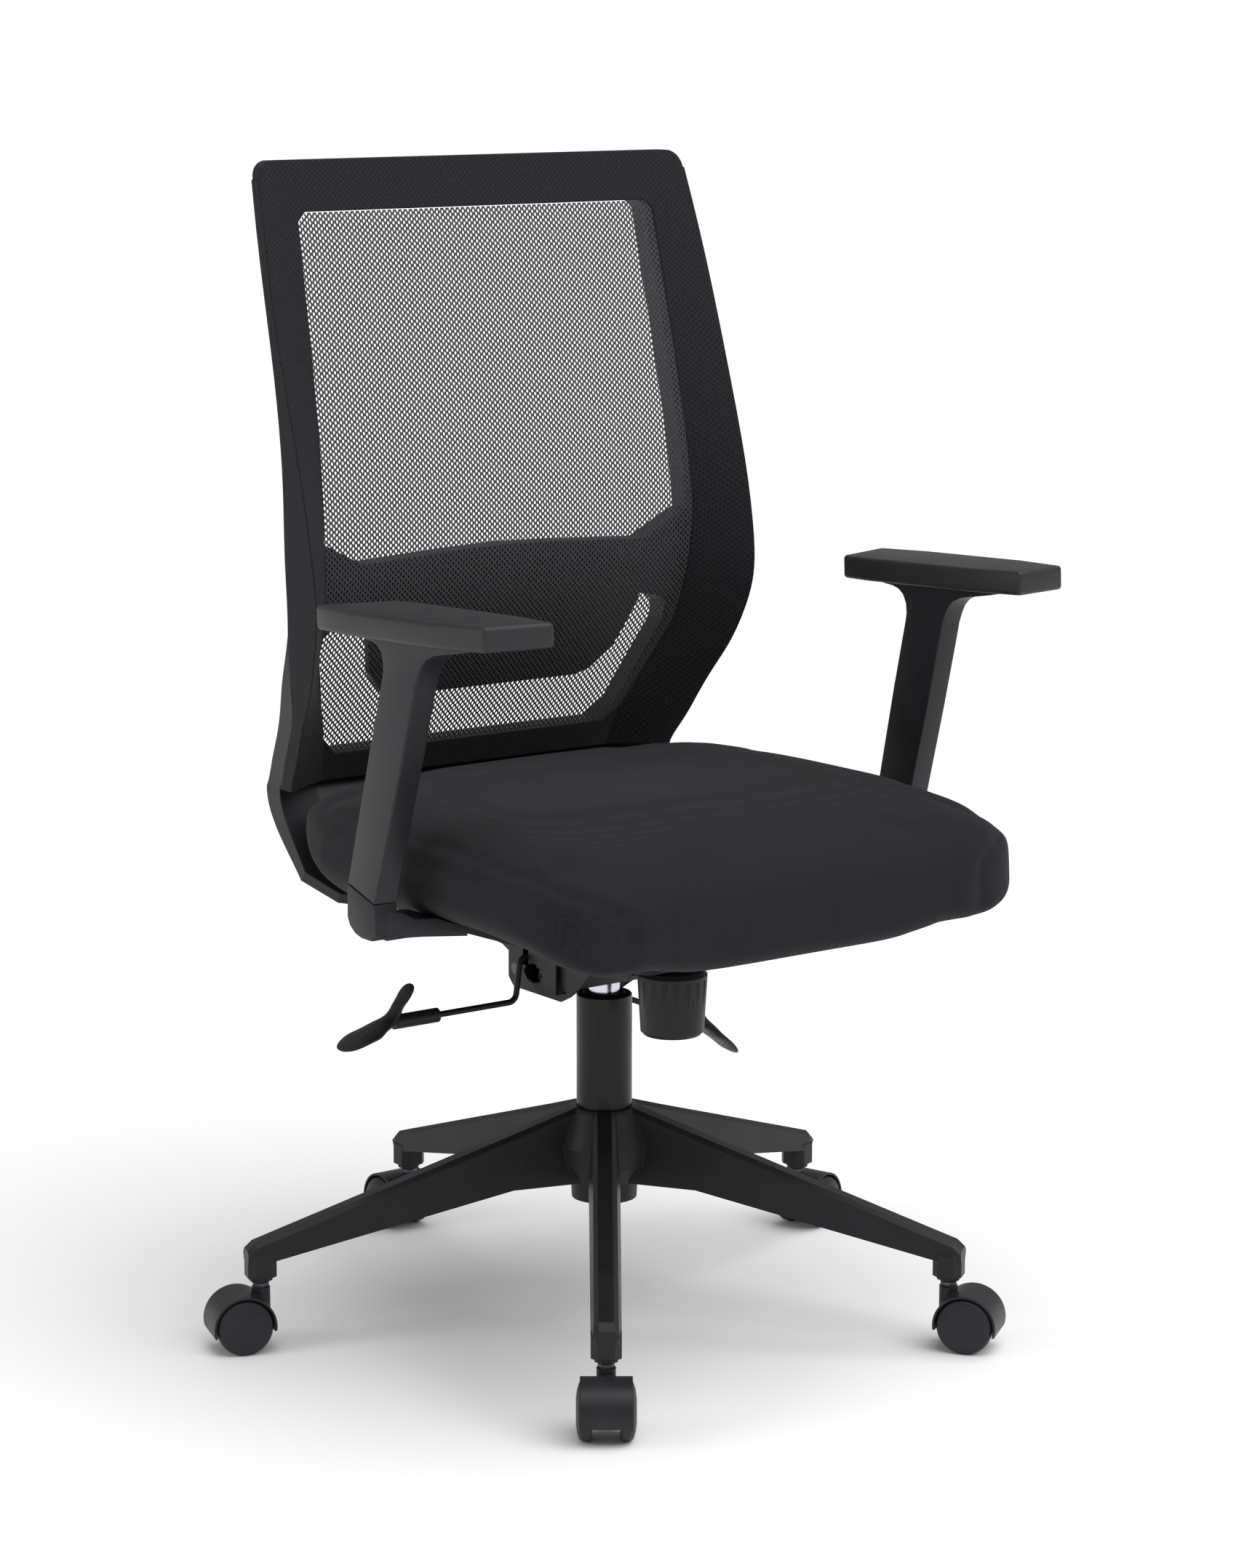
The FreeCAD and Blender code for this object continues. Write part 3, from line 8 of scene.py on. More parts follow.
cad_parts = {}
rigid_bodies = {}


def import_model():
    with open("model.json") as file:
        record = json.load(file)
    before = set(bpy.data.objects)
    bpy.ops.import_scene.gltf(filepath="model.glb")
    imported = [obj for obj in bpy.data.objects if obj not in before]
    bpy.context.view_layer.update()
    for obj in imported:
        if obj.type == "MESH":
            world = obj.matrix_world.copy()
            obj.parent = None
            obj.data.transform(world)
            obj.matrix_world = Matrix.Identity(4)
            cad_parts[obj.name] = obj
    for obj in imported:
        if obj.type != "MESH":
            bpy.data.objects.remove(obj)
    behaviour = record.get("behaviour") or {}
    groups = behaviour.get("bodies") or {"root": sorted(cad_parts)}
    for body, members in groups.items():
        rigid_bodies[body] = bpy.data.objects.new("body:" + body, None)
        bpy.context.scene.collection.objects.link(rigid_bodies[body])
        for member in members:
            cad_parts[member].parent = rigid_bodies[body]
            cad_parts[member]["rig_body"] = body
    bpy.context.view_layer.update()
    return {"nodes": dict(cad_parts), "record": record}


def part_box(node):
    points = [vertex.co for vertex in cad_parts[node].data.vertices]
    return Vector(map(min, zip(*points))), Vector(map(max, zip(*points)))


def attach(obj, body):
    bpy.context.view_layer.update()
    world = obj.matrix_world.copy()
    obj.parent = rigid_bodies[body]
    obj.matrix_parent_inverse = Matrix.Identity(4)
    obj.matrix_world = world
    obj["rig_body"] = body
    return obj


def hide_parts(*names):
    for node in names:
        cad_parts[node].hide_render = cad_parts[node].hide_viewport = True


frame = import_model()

NODES = frame["nodes"]
scene = bpy.context.scene


# ---- Materials ----------------------------------------------------------------------------

class Graph:
    """A material's node tree, with short calls for the nodes used here."""

    def __init__(self, name):
        self.material = bpy.data.materials.new(name)
        self.material.use_nodes = True
        self.tree = self.material.node_tree
        self.shader = self.tree.nodes["Principled BSDF"]
        place = self.tree.nodes.new("ShaderNodeTexCoord")
        self.spot = place.outputs["Object"]

    def link(self, source, target):
        if isinstance(source, (int, float, tuple)):
            target.default_value = source
        else:
            self.tree.links.new(source, target)

    def math(self, kind, first, second=0.0, third=0.0):
        node = self.tree.nodes.new("ShaderNodeMath")
        node.operation = kind
        for target, source in zip(node.inputs, (first, second, third)):
            self.link(source, target)
        return node.outputs[0]

    def axes(self):
        node = self.tree.nodes.new("ShaderNodeSeparateXYZ")
        self.link(self.spot, node.inputs[0])
        return node.outputs

    def noise(self, scale, detail=3.0, rough=0.55, at=None):
        node = self.tree.nodes.new("ShaderNodeTexNoise")
        self.link(at or self.spot, node.inputs["Vector"])
        node.inputs["Scale"].default_value = scale
        node.inputs["Detail"].default_value = detail
        node.inputs["Roughness"].default_value = rough
        return node.outputs["Fac"]

    def stretch(self, x, y, z):
        node = self.tree.nodes.new("ShaderNodeMapping")
        self.link(self.spot, node.inputs["Vector"])
        node.inputs["Scale"].default_value = (x, y, z)
        return node.outputs[0]

    def span(self, value, low, high, out_low=0.0, out_high=1.0):
        node = self.tree.nodes.new("ShaderNodeMapRange")
        node.interpolation_type = "SMOOTHSTEP"
        for index, source in enumerate((value, low, high, out_low, out_high)):
            self.link(source, node.inputs[index])
        return node.outputs[0]

    def blend(self, share, first, second):
        node = self.tree.nodes.new("ShaderNodeMix")
        node.data_type = "RGBA"
        self.link(share, node.inputs[0])
        self.link(first, node.inputs[6])
        self.link(second, node.inputs[7])
        return node.outputs[2]

    def bump(self, height, strength, distance, normal=None):
        node = self.tree.nodes.new("ShaderNodeBump")
        node.inputs["Strength"].default_value = strength
        node.inputs["Distance"].default_value = distance
        self.link(height, node.inputs["Height"])
        if normal is not None:
            self.link(normal, node.inputs["Normal"])
        return node.outputs[0]

    def rounded(self, radius):
        node = self.tree.nodes.new("ShaderNodeBevel")
        node.samples = 4
        node.inputs["Radius"].default_value = radius
        return node.outputs[0]

    def edges(self, normal):
        """How near the surface is to an edge, from 0 to 1."""
        place = self.tree.nodes.new("ShaderNodeNewGeometry")
        node = self.tree.nodes.new("ShaderNodeVectorMath")
        node.operation = "DOT_PRODUCT"
        self.link(normal, node.inputs[0])
        self.link(place.outputs["Normal"], node.inputs[1])
        return self.span(node.outputs["Value"], 0.985, 0.8, 0.0, 1.0)

    def set(self, **values):
        for name, value in values.items():
            self.link(value, self.shader.inputs[name.replace("_", " ")])
        return self.material


def grey(level):
    """A faintly blue grey."""
    return (level, level * 1.03, level * 1.2, 1.0)


def plastic(name, level, rough, grain=0.1, size=1400, edge=0.0008, edge_highlight_and_wear=2.2):
    """Moulded plastic: fine spark-eroded grain, faint mottling, and edges painted lighter, partly as edge
    wear and partly as a painted highlight.
    """
    g = Graph(name)
    soft = g.rounded(edge)
    mottle = g.noise(22, 4)
    base = g.blend(g.span(mottle, 0.3, 0.7), grey(level * 0.88), grey(level * 1.14))
    # Edges painted lighter than the face: a painted edge highlight, together with edge wear.
    colour = g.blend(g.math("MULTIPLY", g.edges(soft), 0.45), base, grey(level * edge_highlight_and_wear))
    fine = g.noise(size, 2)
    normal = g.bump(fine, grain, 0.0004, soft)
    patchy = g.span(mottle, 0.25, 0.75, -0.04, 0.05)
    shine = g.math("ADD", patchy, g.span(fine, 0.3, 0.7, rough - 0.04, rough + 0.04))
    return g.set(Base_Color=colour, Roughness=shine, Normal=normal, Specular_IOR_Level=0.26)


def metal(name, level, rough):
    """Turned steel, with fine lines around the upright axis."""
    g = Graph(name)
    lines = g.noise(420, 3, at=g.stretch(1, 1, 30))
    normal = g.bump(lines, 0.08, 0.0002, g.rounded(0.0005))
    colour = g.blend(g.span(lines, 0.3, 0.7), grey(level * 0.9), grey(level * 1.08))
    shine = g.span(lines, 0.25, 0.75, rough - 0.05, rough + 0.07)
    return g.set(Base_Color=colour, Roughness=shine, Normal=normal, Metallic=1.0)


def paint(name, level, rough):
    """Powder coat: a fine orange peel under a thin gloss."""
    g = Graph(name)
    peel = g.noise(650, 2)
    dust = g.noise(35, 4)
    colour = g.blend(g.span(dust, 0.3, 0.7), grey(level * 0.9), grey(level * 1.12))
    shine = g.span(dust, 0.3, 0.7, rough - 0.04, rough + 0.05)
    return g.set(Base_Color=colour, Roughness=shine, Normal=g.bump(peel, 0.12, 0.0004, g.rounded(0.0006)),
                 Specular_IOR_Level=0.26)


SWAY = 0.13      # how far a strand waves to each side, in columns


def knit(g, across, up, round_sides=False):
    """Distance to the nearest strand of a warp knit, 0 on a strand and up to about 0.5 between two.
    Columns are counted along x, or along y on faces that look sideways if round_sides is set."""
    x, y, z = g.axes()
    if round_sides:
        place = g.tree.nodes.new("ShaderNodeNewGeometry")
        facing = g.tree.nodes.new("ShaderNodeSeparateXYZ")
        g.link(place.outputs["True Normal"], facing.inputs[0])
        sideways = g.math("GREATER_THAN", g.math("ABSOLUTE", facing.outputs[0]), 0.6)
        x = g.math("ADD", g.math("MULTIPLY", x, g.math("SUBTRACT", 1.0, sideways)),
                   g.math("MULTIPLY", y, sideways))
    wave = g.math("MULTIPLY", g.math("SINE", g.math("MULTIPLY", z, 2 * math.pi / up)), SWAY)
    column = g.math("MULTIPLY", x, 1 / across)
    first = g.math("PINGPONG", g.math("ADD", column, wave), 0.5)
    second = g.math("PINGPONG", g.math("SUBTRACT", g.math("ADD", column, 0.5), wave), 0.5)
    return g.math("MINIMUM", first, second)


def mesh_cloth():
    """The open net: strands that show, and nothing between them."""
    g = Graph("Mesh_Knit")
    strand = knit(g, 0.0056, 0.0054)
    ply = g.noise(900, 3, at=g.stretch(1, 1, 0.35))
    solid = g.span(strand, 0.17, 0.205, 1.0, 0.0)
    colour = g.blend(g.span(ply, 0.3, 0.7), grey(0.02), grey(0.045))
    normal = g.bump(g.math("ADD", g.math("MULTIPLY", strand, -3.0), ply), 0.5, 0.0006)
    return g.set(Base_Color=colour, Roughness=0.72, Alpha=solid, Normal=normal)


def backed_cloth():
    """The same knit where it is drawn tight over black plastic."""
    g = Graph("Mesh_Over_Frame")
    strand = knit(g, 0.0052, 0.005, round_sides=True)
    ply = g.noise(900, 3, at=g.stretch(1, 1, 0.35))
    over = g.span(strand, 0.12, 0.23, 1.0, 0.0)
    thread = g.blend(g.span(ply, 0.3, 0.7), grey(0.016), grey(0.026))
    colour = g.blend(over, grey(0.0115), thread)
    soft = g.rounded(0.003)
    normal = g.bump(g.math("ADD", over, g.math("MULTIPLY", ply, 0.3)), 0.35, 0.0007, soft)
    return g.set(Base_Color=colour, Roughness=0.7, Normal=normal, Sheen_Weight=0.03, Sheen_Roughness=0.4,
                 Specular_IOR_Level=0.12)


def seat_cloth():
    """Fine woven black seat cloth with a soft bloom."""
    g = Graph("Seat_Cloth")
    x, y, z = g.axes()
    rib_spacing = 0.0016
    ribs = [g.math("SINE", g.math("MULTIPLY", axis, 2 * math.pi / rib_spacing)) for axis in (x, y, z)]
    weave = g.math("ADD", g.math("MULTIPLY", ribs[0], ribs[1]), g.math("MULTIPLY", ribs[2], 0.6))
    lint = g.noise(1600, 3)
    nap = g.noise(9, 4)
    level = g.math("ADD", g.span(weave, -1, 1, 0.0, 0.55), g.math("MULTIPLY", lint, 0.45))
    dark = g.blend(g.span(nap, 0.3, 0.7), grey(0.0085), grey(0.0105))
    colour = g.blend(level, dark, grey(0.021))
    normal = g.bump(g.math("ADD", weave, g.math("MULTIPLY", lint, 1.2)), 0.32, 0.00045)
    return g.set(Base_Color=colour, Roughness=0.86, Normal=normal, Sheen_Weight=0.05, Sheen_Roughness=0.45,
                 Specular_IOR_Level=0.12)


def rubber(name, level):
    """Soft moulded pad skin, a little shinier where it is handled, with its edges painted lighter as a
    painted highlight.
    """
    g = Graph(name)
    fine = g.noise(2100, 2)
    patch = g.noise(14, 4)
    soft = g.rounded(0.0022)
    base = g.blend(g.span(patch, 0.3, 0.7), grey(level * 0.92), grey(level * 1.08))
    # Edges painted lighter than the face: a painted highlight.
    colour = g.blend(g.math("MULTIPLY", g.edges(soft), 0.5), base, grey(level * 2.0))
    shine = g.span(patch, 0.3, 0.7, 0.46, 0.54)
    return g.set(Base_Color=colour, Roughness=shine, Normal=g.bump(fine, 0.1, 0.0003, soft),
                 Specular_IOR_Level=0.42)


FINISHES = {
    "base_plastic": plastic("Base_Nylon", 0.0125, 0.42, edge=0.0016),
    "castor_plastic": plastic("Castor_Nylon", 0.016, 0.4, edge=0.0012),
    "castor_tread": plastic("Castor_Tread", 0.02, 0.45, edge=0.001),
    "column_paint": paint("Column_Black", 0.006, 0.36),
    "bright_steel": metal("Chromed_Steel", 0.62, 0.16),
    "plain_steel": metal("Plain_Steel", 0.1, 0.4),
    "bearing_brass": metal("Bearing_Steel", 0.4, 0.3),
    "mechanism_paint": paint("Mechanism_Paint", 0.009, 0.4),
    "spring_steel": metal("Spring_Steel", 0.12, 0.42),
    "black_plastic": plastic("Moulded_Black", 0.015, 0.44),
    "pan_plastic": plastic("Pan_Plastic", 0.009, 0.6, size=900),
    "shell_plastic": plastic("Shell_Plastic", 0.02, 0.46, edge=0.0022),
    "carrier_fabric": backed_cloth(),
    "lumbar_plastic": plastic("Lumbar_Plastic", 0.006, 0.5, edge=0.002),
    "pad_rubber": rubber("Pad_Rubber", 0.014),
    "arm_plastic": plastic("Arm_Plastic", 0.019, 0.42, edge=0.0012),
}
FINISHES["seat_fabric"], FINISHES["mesh_fabric"] = seat_cloth(), mesh_cloth()
SLOT_OF = {part["node"]: part["material_slot"] for part in frame["record"]["subparts"]}


def finish(piece, slot):
    piece.data.materials.clear()
    piece.data.materials.append(FINISHES[slot])
    return piece


for name, node in NODES.items():
    for index in range(len(node.material_slots)):
        node.material_slots[index].material = FINISHES[SLOT_OF[name]]


# ---- Shapes -------------------------------------------------------------------------------

def add(name, mesh):
    piece = bpy.data.objects.new(name, mesh)
    scene.collection.objects.link(piece)
    return piece


def applied(piece):
    """The piece with its modifiers made part of its mesh."""
    graph = bpy.context.evaluated_depsgraph_get()
    mesh = bpy.data.meshes.new_from_object(piece.evaluated_get(graph))
    piece.modifiers.clear()
    piece.data = mesh
    return piece


def smooth_shading(piece, angle=40):
    """Smooth shading with sharp creases where two faces meet at more than the angle, in degrees."""
    piece.data.polygons.foreach_set("use_smooth", [True] * len(piece.data.polygons))
    piece.data.set_sharp_from_angle(angle=math.radians(angle))


def copy_of(node, name):
    """A copy of the node's mesh with its points joined and its flat faces whole."""
    mesh = NODES[node].data.copy()
    mesh.name = name
    work = bmesh.new()
    work.from_mesh(mesh)
    bmesh.ops.remove_doubles(work, verts=work.verts, dist=1e-5)
    bmesh.ops.dissolve_limit(work, angle_limit=math.radians(0.6), verts=work.verts, edges=work.edges)
    work.to_mesh(mesh)
    work.free()
    return add(name, mesh)


def made(name, work):
    """A piece from a finished bmesh, which is freed."""
    bmesh.ops.recalc_face_normals(work, faces=work.faces)
    mesh = bpy.data.meshes.new(name)
    work.to_mesh(mesh)
    work.free()
    return add(name, mesh)


def round_edges(piece, width, segments=3):
    bevel = piece.modifiers.new("Round", "BEVEL")
    bevel.width = width
    bevel.segments = segments
    bevel.limit_method = "ANGLE"
    bevel.angle_limit = math.radians(35)
    applied(piece)
    smooth_shading(piece)


def softened(node, width, segments=3):
    """The node's shape with its edges rounded, in its place."""
    piece = copy_of(node, node + "_soft")
    round_edges(piece, width, segments)
    finish(piece, SLOT_OF[node])
    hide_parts(node)
    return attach(piece, NODES[node]["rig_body"])


# ---- Seat ---------------------------------------------------------------------------------

def points_of(mesh):
    spots = np.empty(len(mesh.vertices) * 3, np.float32)
    mesh.vertices.foreach_get("co", spots)
    return spots.reshape(-1, 3).astype(float)


def normals_of(mesh):
    ways = np.empty(len(mesh.vertices) * 3, np.float32)
    mesh.vertex_normals.foreach_get("vector", ways)
    return ways.reshape(-1, 3).astype(float)


def move_to(mesh, spots):
    mesh.vertices.foreach_set("co", spots.astype(np.float32).ravel())
    mesh.update()


FILL_FRAMES = 20


def fill(piece):
    """Cloth blown up over its first shape, held where it lies on the pan."""
    under = normals_of(piece.data)[:, 2] < -0.55
    held = piece.vertex_groups.new(name="Held")
    held.add([int(n) for n in np.nonzero(under)[0]], 1.0, "REPLACE")
    cloth = piece.modifiers.new("Fill", "CLOTH")
    settings = cloth.settings
    settings.quality = 5
    settings.mass = 0.3
    settings.use_pressure = True
    settings.uniform_pressure_force = 4.0
    settings.vertex_group_mass = "Held"
    settings.effector_weights.gravity = 0.0
    settings.tension_stiffness = settings.compression_stiffness = 15
    settings.bending_stiffness = 0.5
    cloth.collision_settings.use_collision = False
    cloth.point_cache.frame_start, cloth.point_cache.frame_end = 1, FILL_FRAMES
    for number in range(1, FILL_FRAMES + 1):
        scene.frame_set(number)
    applied(piece)
    scene.frame_set(1)
    piece.vertex_groups.clear()


# The side seam's line on the top of the cushion: y, and how far out it lies.
SEAM = [(-0.302, 0.14), (-0.296, 0.185), (-0.286, 0.211), (-0.27, 0.228), (-0.25, 0.236), (-0.2, 0.241),
        (-0.06, 0.238), (0.1, 0.226), (0.16, 0.205), (0.202, 0.165)]


def side_seam(spots, ways, middle):
    """The seam between the top and the side panels: a drawn-in line with a puff on each side, over a side
    panel that lies a little lower."""
    line = np.interp(spots[:, 1], [y for y, x in SEAM], [x for y, x in SEAM])
    off = np.abs(spots[:, 0]) - line
    groove = 0.0022 * np.exp(-(off / 0.004) ** 2)
    puff = 0.001 * np.exp(-((np.abs(off) - 0.014) / 0.009) ** 2)
    tall = np.clip((spots[:, 2] - middle + 0.03) / 0.03, 0, 1)
    hollow = 0.0015 * np.clip(off / 0.015, 0, 1) * tall
    shown = np.clip((0.175 - spots[:, 1]) / 0.02, 0, 1) * np.clip((ways[:, 2] + 0.5) / 0.3, 0, 1)
    return spots + ways * ((puff - groove - hollow) * shown)[:, None]


def ring_of(mesh):
    """Each vertex's neighbours, end to end, and where each vertex's own run starts."""
    pairs = np.empty(len(mesh.edges) * 2, np.int32)
    mesh.edges.foreach_get("vertices", pairs)
    first, second = pairs.reshape(-1, 2).T
    here, there = np.concatenate((first, second)), np.concatenate((second, first))
    order = np.argsort(here, kind="stable")
    return there[order], np.searchsorted(here[order], np.arange(len(mesh.vertices)))


def evened(spots, ring, rounds, chosen):
    """The points after rounds of averaging with their neighbours, in the share that each is chosen."""
    near, starts = ring
    count = np.diff(np.append(starts, len(near)))[:, None]
    for _ in range(rounds):
        spots = spots + (np.add.reduceat(spots[near], starts) / count - spots) * chosen
    return spots


def refitted(spots, low, high):
    """The points scaled on each axis so that they fill the box from low to high again."""
    least, most = spots.min(0), spots.max(0)
    return np.array(low) + (spots - least) / (most - least) * (np.array(high) - np.array(low))


VOXEL = 0.006              # the size of the cushion's first, even faces
MOST_FILL = 0.006          # the furthest that the cloth may swell


def tucked(spots, low):
    """The cushion's lower side edges drawn out and down over the pan, most of all at the rear."""
    near_foot = np.clip((low.z + 0.065 - spots[:, 2]) / 0.03, 0, 1)
    near_side = np.clip((np.abs(spots[:, 0]) - 0.15) / 0.05, 0, 1)
    under = near_foot * near_side
    rear = np.clip((spots[:, 1] + 0.1) / 0.15, 0, 1)
    spots[:, 0] += np.sign(spots[:, 0]) * (0.003 + 0.004 * rear) * under
    spots[:, 2] -= (0.008 + 0.005 * rear) * under
    spots[:, 2] = np.maximum(spots[:, 2], low.z + 0.0004)
    return spots


def domed(mesh, low, high):
    """The CAD's plain cushion made round: its top evened most, then all of it, at its first size."""
    ring = ring_of(mesh)
    upper = np.clip((normals_of(mesh)[:, 2] - 0.6) / 0.3, 0, 1)[:, None]
    spots = evened(points_of(mesh), ring, 120, upper * 0.6)
    spots = evened(spots, ring, 40, 0.5)
    move_to(mesh, refitted(spots, low - Vector((0.002, 0.001, 0)), high + Vector((0.002, 0.001, 0.003))))
    return ring


def seat():
    piece = copy_of("seat_cushion", "Seat_Cushion")
    low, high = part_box("seat_cushion")
    remesh = piece.modifiers.new("Voxels", "REMESH")
    remesh.mode = "VOXEL"
    remesh.voxel_size = VOXEL
    applied(piece)
    ring = domed(piece.data, low, high)
    start = points_of(piece.data)
    fill(piece)
    steps = points_of(piece.data) - start
    lengths = np.maximum(np.linalg.norm(steps, axis=1), 1e-9)
    spots = start + steps * np.minimum(1, MOST_FILL / lengths)[:, None]
    move_to(piece.data, tucked(evened(spots, ring, 4, 0.5), low))
    move_to(piece.data, side_seam(points_of(piece.data), normals_of(piece.data), low.z + 0.05))
    rounder = piece.modifiers.new("Finer", "SUBSURF")
    rounder.levels = rounder.render_levels = 1
    applied(piece)
    spots, ways = points_of(piece.data), normals_of(piece.data)
    ripple = [noise.noise(Vector(at) * 14) * 0.0003 for at in spots]
    move_to(piece.data, spots + ways * np.array(ripple)[:, None])
    smooth_shading(piece, 80)
    finish(piece, "seat_fabric")
    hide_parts("seat_cushion")
    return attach(piece, "seat")


seat()


# ---- Mesh back ----------------------------------------------------------------------------

def front_sheet():
    """The stretched net: the front layer of the mesh's solid, smooth shaded."""
    mesh = NODES["back_mesh"].data.copy()
    work = bmesh.new()
    work.from_mesh(mesh)
    bmesh.ops.remove_doubles(work, verts=work.verts, dist=1e-5)
    work.normal_update()
    hidden = [f for f in work.faces if f.normal.y > -0.3]
    bmesh.ops.delete(work, geom=hidden, context="FACES")
    work.to_mesh(mesh)
    work.free()
    piece = add("Back_Net", mesh)
    for polygon in mesh.polygons:
        polygon.use_smooth = True
    finish(piece, "mesh_fabric")
    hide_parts("back_mesh")
    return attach(piece, "back")


front_sheet()


# ---- Arms and housing ---------------------------------------------------------------------

def prism(name, outline, low, high):
    """A closed prism from a (y, z) outline, between two x."""
    work = bmesh.new()
    near = [work.verts.new((low, y, z)) for y, z in outline]
    far = [work.verts.new((high, y, z)) for y, z in outline]
    work.faces.new(reversed(near))
    work.faces.new(far)
    for index in range(len(outline)):
        after = (index + 1) % len(outline)
        work.faces.new((near[index], near[after], far[after], far[index]))
    return made(name, work)


LEAN, INWARD = math.radians(15.5), math.radians(1.8)     # the posts lean back, and in towards the seat
FOOT = Vector((0.2865, -0.0638, 0.438))                  # the left post's seam, where its sleeve starts


def arm_turn(side):
    return Matrix.Rotation(-side * INWARD, 4, "Y") @ Matrix.Rotation(LEAN, 4, "X")


def leant(y, z):
    """A height and depth of the chair in the sleeve's own leaning plane."""
    back, up = y - FOOT.y, z - FOOT.z
    return back * math.cos(LEAN) + up * math.sin(LEAN), up * math.cos(LEAN) - back * math.sin(LEAN)


def under_pad(y):
    """The height of the pad's underside, which slopes up to the front."""
    return 0.6626 + math.tan(math.radians(2.6)) * (-0.14 - y)


def sleeve(side, name):
    """The arm's sliding sleeve: a leaning shaft that flares into a head under the pad."""
    outline = [(-0.0217, 0.0004), (0.0217, 0.0004), (0.0241, 0.12), (0.0243, 0.186)]
    head = [(-0.0915, 0.6305), (-0.0908, 0.6395), (-0.0868, 0.647), (-0.0805, 0.6513), (-0.072, 0.6533),
            (-0.06, 0.6543), (-0.0525, 0.6555), (-0.052, under_pad(-0.052)), (-0.2225, under_pad(-0.2225)),
            (-0.2215, 0.6635), (-0.206, 0.6601), (-0.181, 0.6557), (-0.166, 0.6528), (-0.1555, 0.6484),
            (-0.149, 0.6424), (-0.1446, 0.6345), (-0.1408, 0.6255)]
    outline += [leant(y, z) for y, z in head] + [(-0.0243, 0.186), (-0.0241, 0.12)]
    piece = prism(f"Arm_Sleeve_{name}", outline, -0.011, 0.011)
    bore = [(-0.0183, -0.01), (0.0183, -0.01), (0.0183, 0.204), (-0.0183, 0.204)]
    hollow = prism("Bore", bore, -0.0078, 0.0078)
    round_edges(piece, 0.0028, 4)
    cut = piece.modifiers.new("Bore", "BOOLEAN")
    cut.operation = "DIFFERENCE"
    cut.solver = "EXACT"
    cut.object = hollow
    applied(piece)
    bpy.data.objects.remove(hollow)
    smooth_shading(piece)
    piece.data.transform(Matrix.Translation((side * FOOT.x, FOOT.y, FOOT.z)) @ arm_turn(side))
    finish(piece, "arm_plastic")
    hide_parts(f"arm_sleeve_{name}")
    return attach(piece, f"arm_{name}")


def case_liner():
    """The ribbed casting inside the mechanism's housing, dark behind its slots."""
    outline = [(-0.03, 0.325), (-0.024, 0.311), (-0.012, 0.3045), (-0.004, 0.3035), (0.0, 0.3225),
               (0.03, 0.3225), (0.03, 0.331), (0.0, 0.3365), (-0.03, 0.3365)]
    piece = prism("Case_Liner", outline, -0.0535, -0.0515)
    round_edges(piece, 0.0006, 2)
    finish(piece, "mechanism_paint")
    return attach(piece, "mechanism")


CAP_STEPS = 24
CAP_RINGS = [(0.0, 0.0058), (0.0012, 0.0064), (0.003, 0.0064), (0.0044, 0.0052), (0.0051, 0.003)]
CAP_TOP = 0.0054


def release_cap(side, name):
    """The release button's domed cap, on the rear edge of the sleeve."""
    work = bmesh.new()
    angles = [step * math.tau / CAP_STEPS for step in range(CAP_STEPS)]
    rings = [[work.verts.new((radius * math.cos(a), out, radius * math.sin(a))) for a in angles]
             for out, radius in CAP_RINGS]
    top = work.verts.new((0, CAP_TOP, 0))
    work.faces.new(rings[0])
    for step in range(CAP_STEPS):
        after = (step + 1) % CAP_STEPS
        for inner, outer in zip(rings, rings[1:]):
            work.faces.new((inner[step], inner[after], outer[after], outer[step]))
        work.faces.new((rings[-1][step], rings[-1][after], top))
    piece = made(f"Release_Cap_{name}", work)
    low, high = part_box(f"arm_button_{name}")
    spot = Vector(((low.x + high.x) / 2, high.y - 0.0021, high.z - 0.0046))
    piece.data.transform(Matrix.Translation(spot) @ arm_turn(side))
    smooth_shading(piece)
    finish(piece, "black_plastic")
    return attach(piece, f"arm_button_{name}")


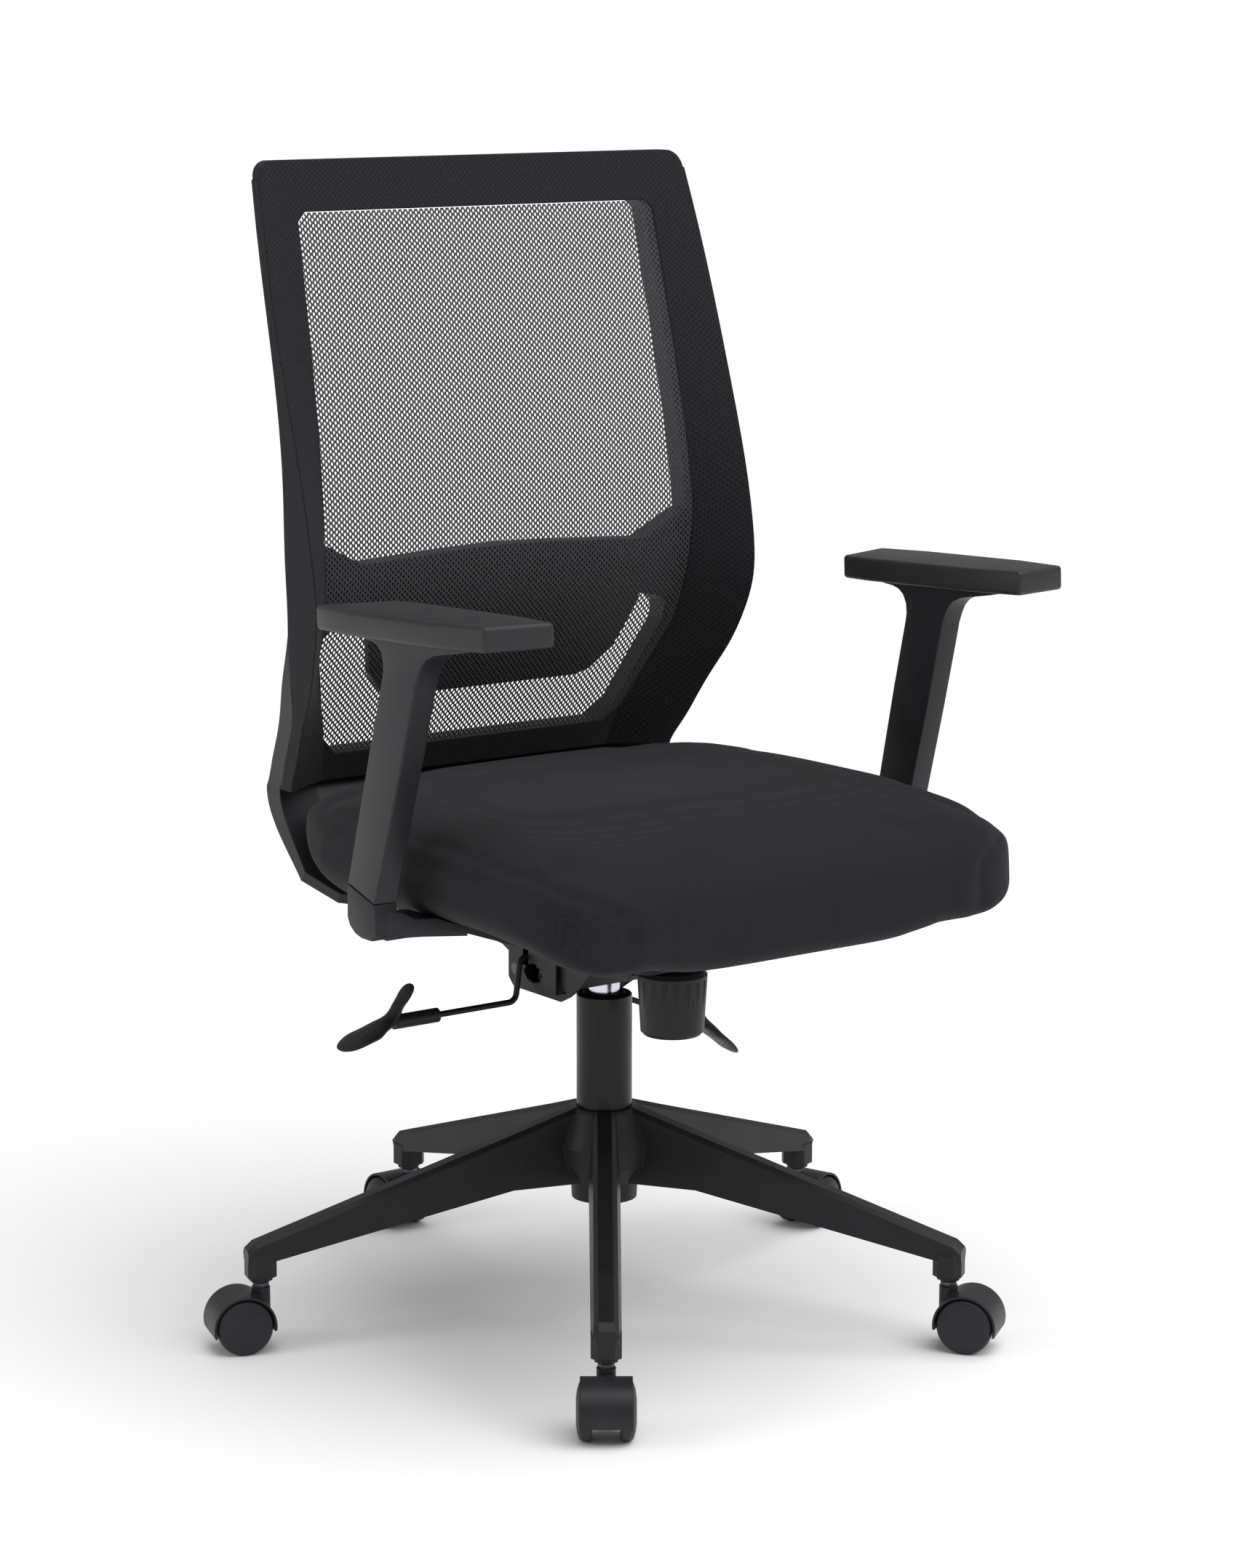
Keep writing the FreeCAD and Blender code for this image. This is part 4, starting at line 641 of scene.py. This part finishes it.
SIDES = ((1, "left"), (-1, "right"))
for side, name in SIDES:
    sleeve(side, name)
    softened(f"arm_pad_{name}", 0.0035, 4)
    softened(f"arm_bracket_{name}", 0.002)
case_liner()
for side, name in SIDES:
    release_cap(side, name)


# ---- Floor, light and camera --------------------------------------------------------------

def floor():
    bpy.ops.mesh.primitive_plane_add(size=1200, location=(0, 0, 0))
    plane = bpy.context.object
    plane.name = "Floor"
    g = Graph("Floor_Paper")
    tooth = g.noise(300, 2)
    colour = g.blend(tooth, (0.93, 0.93, 0.93, 1), (0.96, 0.96, 0.96, 1))
    g.set(Base_Color=colour, Roughness=0.9, Normal=g.bump(tooth, 0.03, 0.0002))
    plane.data.materials.append(g.material)


def lamp(name, spot, aim, width, power):
    data = bpy.data.lights.new(name, "AREA")
    data.shape = "DISK"
    data.size = width
    data.energy = power
    item = bpy.data.objects.new(name, data)
    scene.collection.objects.link(item)
    item.location = spot
    item.rotation_euler = (Vector(aim) - Vector(spot)).to_track_quat("-Z", "Y").to_euler()


def studio():
    world = bpy.data.worlds.new("Studio")
    scene.world = world
    world.use_nodes = True
    back = world.node_tree.nodes["Background"]
    back.inputs["Color"].default_value = (1, 1, 1, 1)
    back.inputs["Strength"].default_value = 0.38
    data = bpy.data.lights.new("Ceiling", "SUN")
    data.energy = 2.5
    data.angle = math.radians(70)
    item = bpy.data.objects.new("Ceiling", data)
    scene.collection.objects.link(item)
    item.rotation_euler = (math.radians(20), math.radians(12), 0)
    lamp("Key", (1.2, -2.8, 2.2), (0, 0, 0.6), 1.6, 9)
    lamp("Side", (-2.6, 0.6, 1.4), (0, 0, 0.6), 1.2, 12)


def camera():
    data = bpy.data.cameras.new("Photo")
    data.sensor_fit = "VERTICAL"
    data.sensor_height = 36
    data.lens = 95.0
    data.shift_x = 0.0114
    data.clip_end = 1000
    item = bpy.data.objects.new("Photo", data)
    scene.collection.objects.link(item)
    item.location = (-2.1145, -2.9284, 1.186)
    item.rotation_euler = (math.radians(79.08), 0, math.radians(-35.83))
    scene.camera = item


floor()
studio()
camera()
scene.view_settings.view_transform = "Standard"
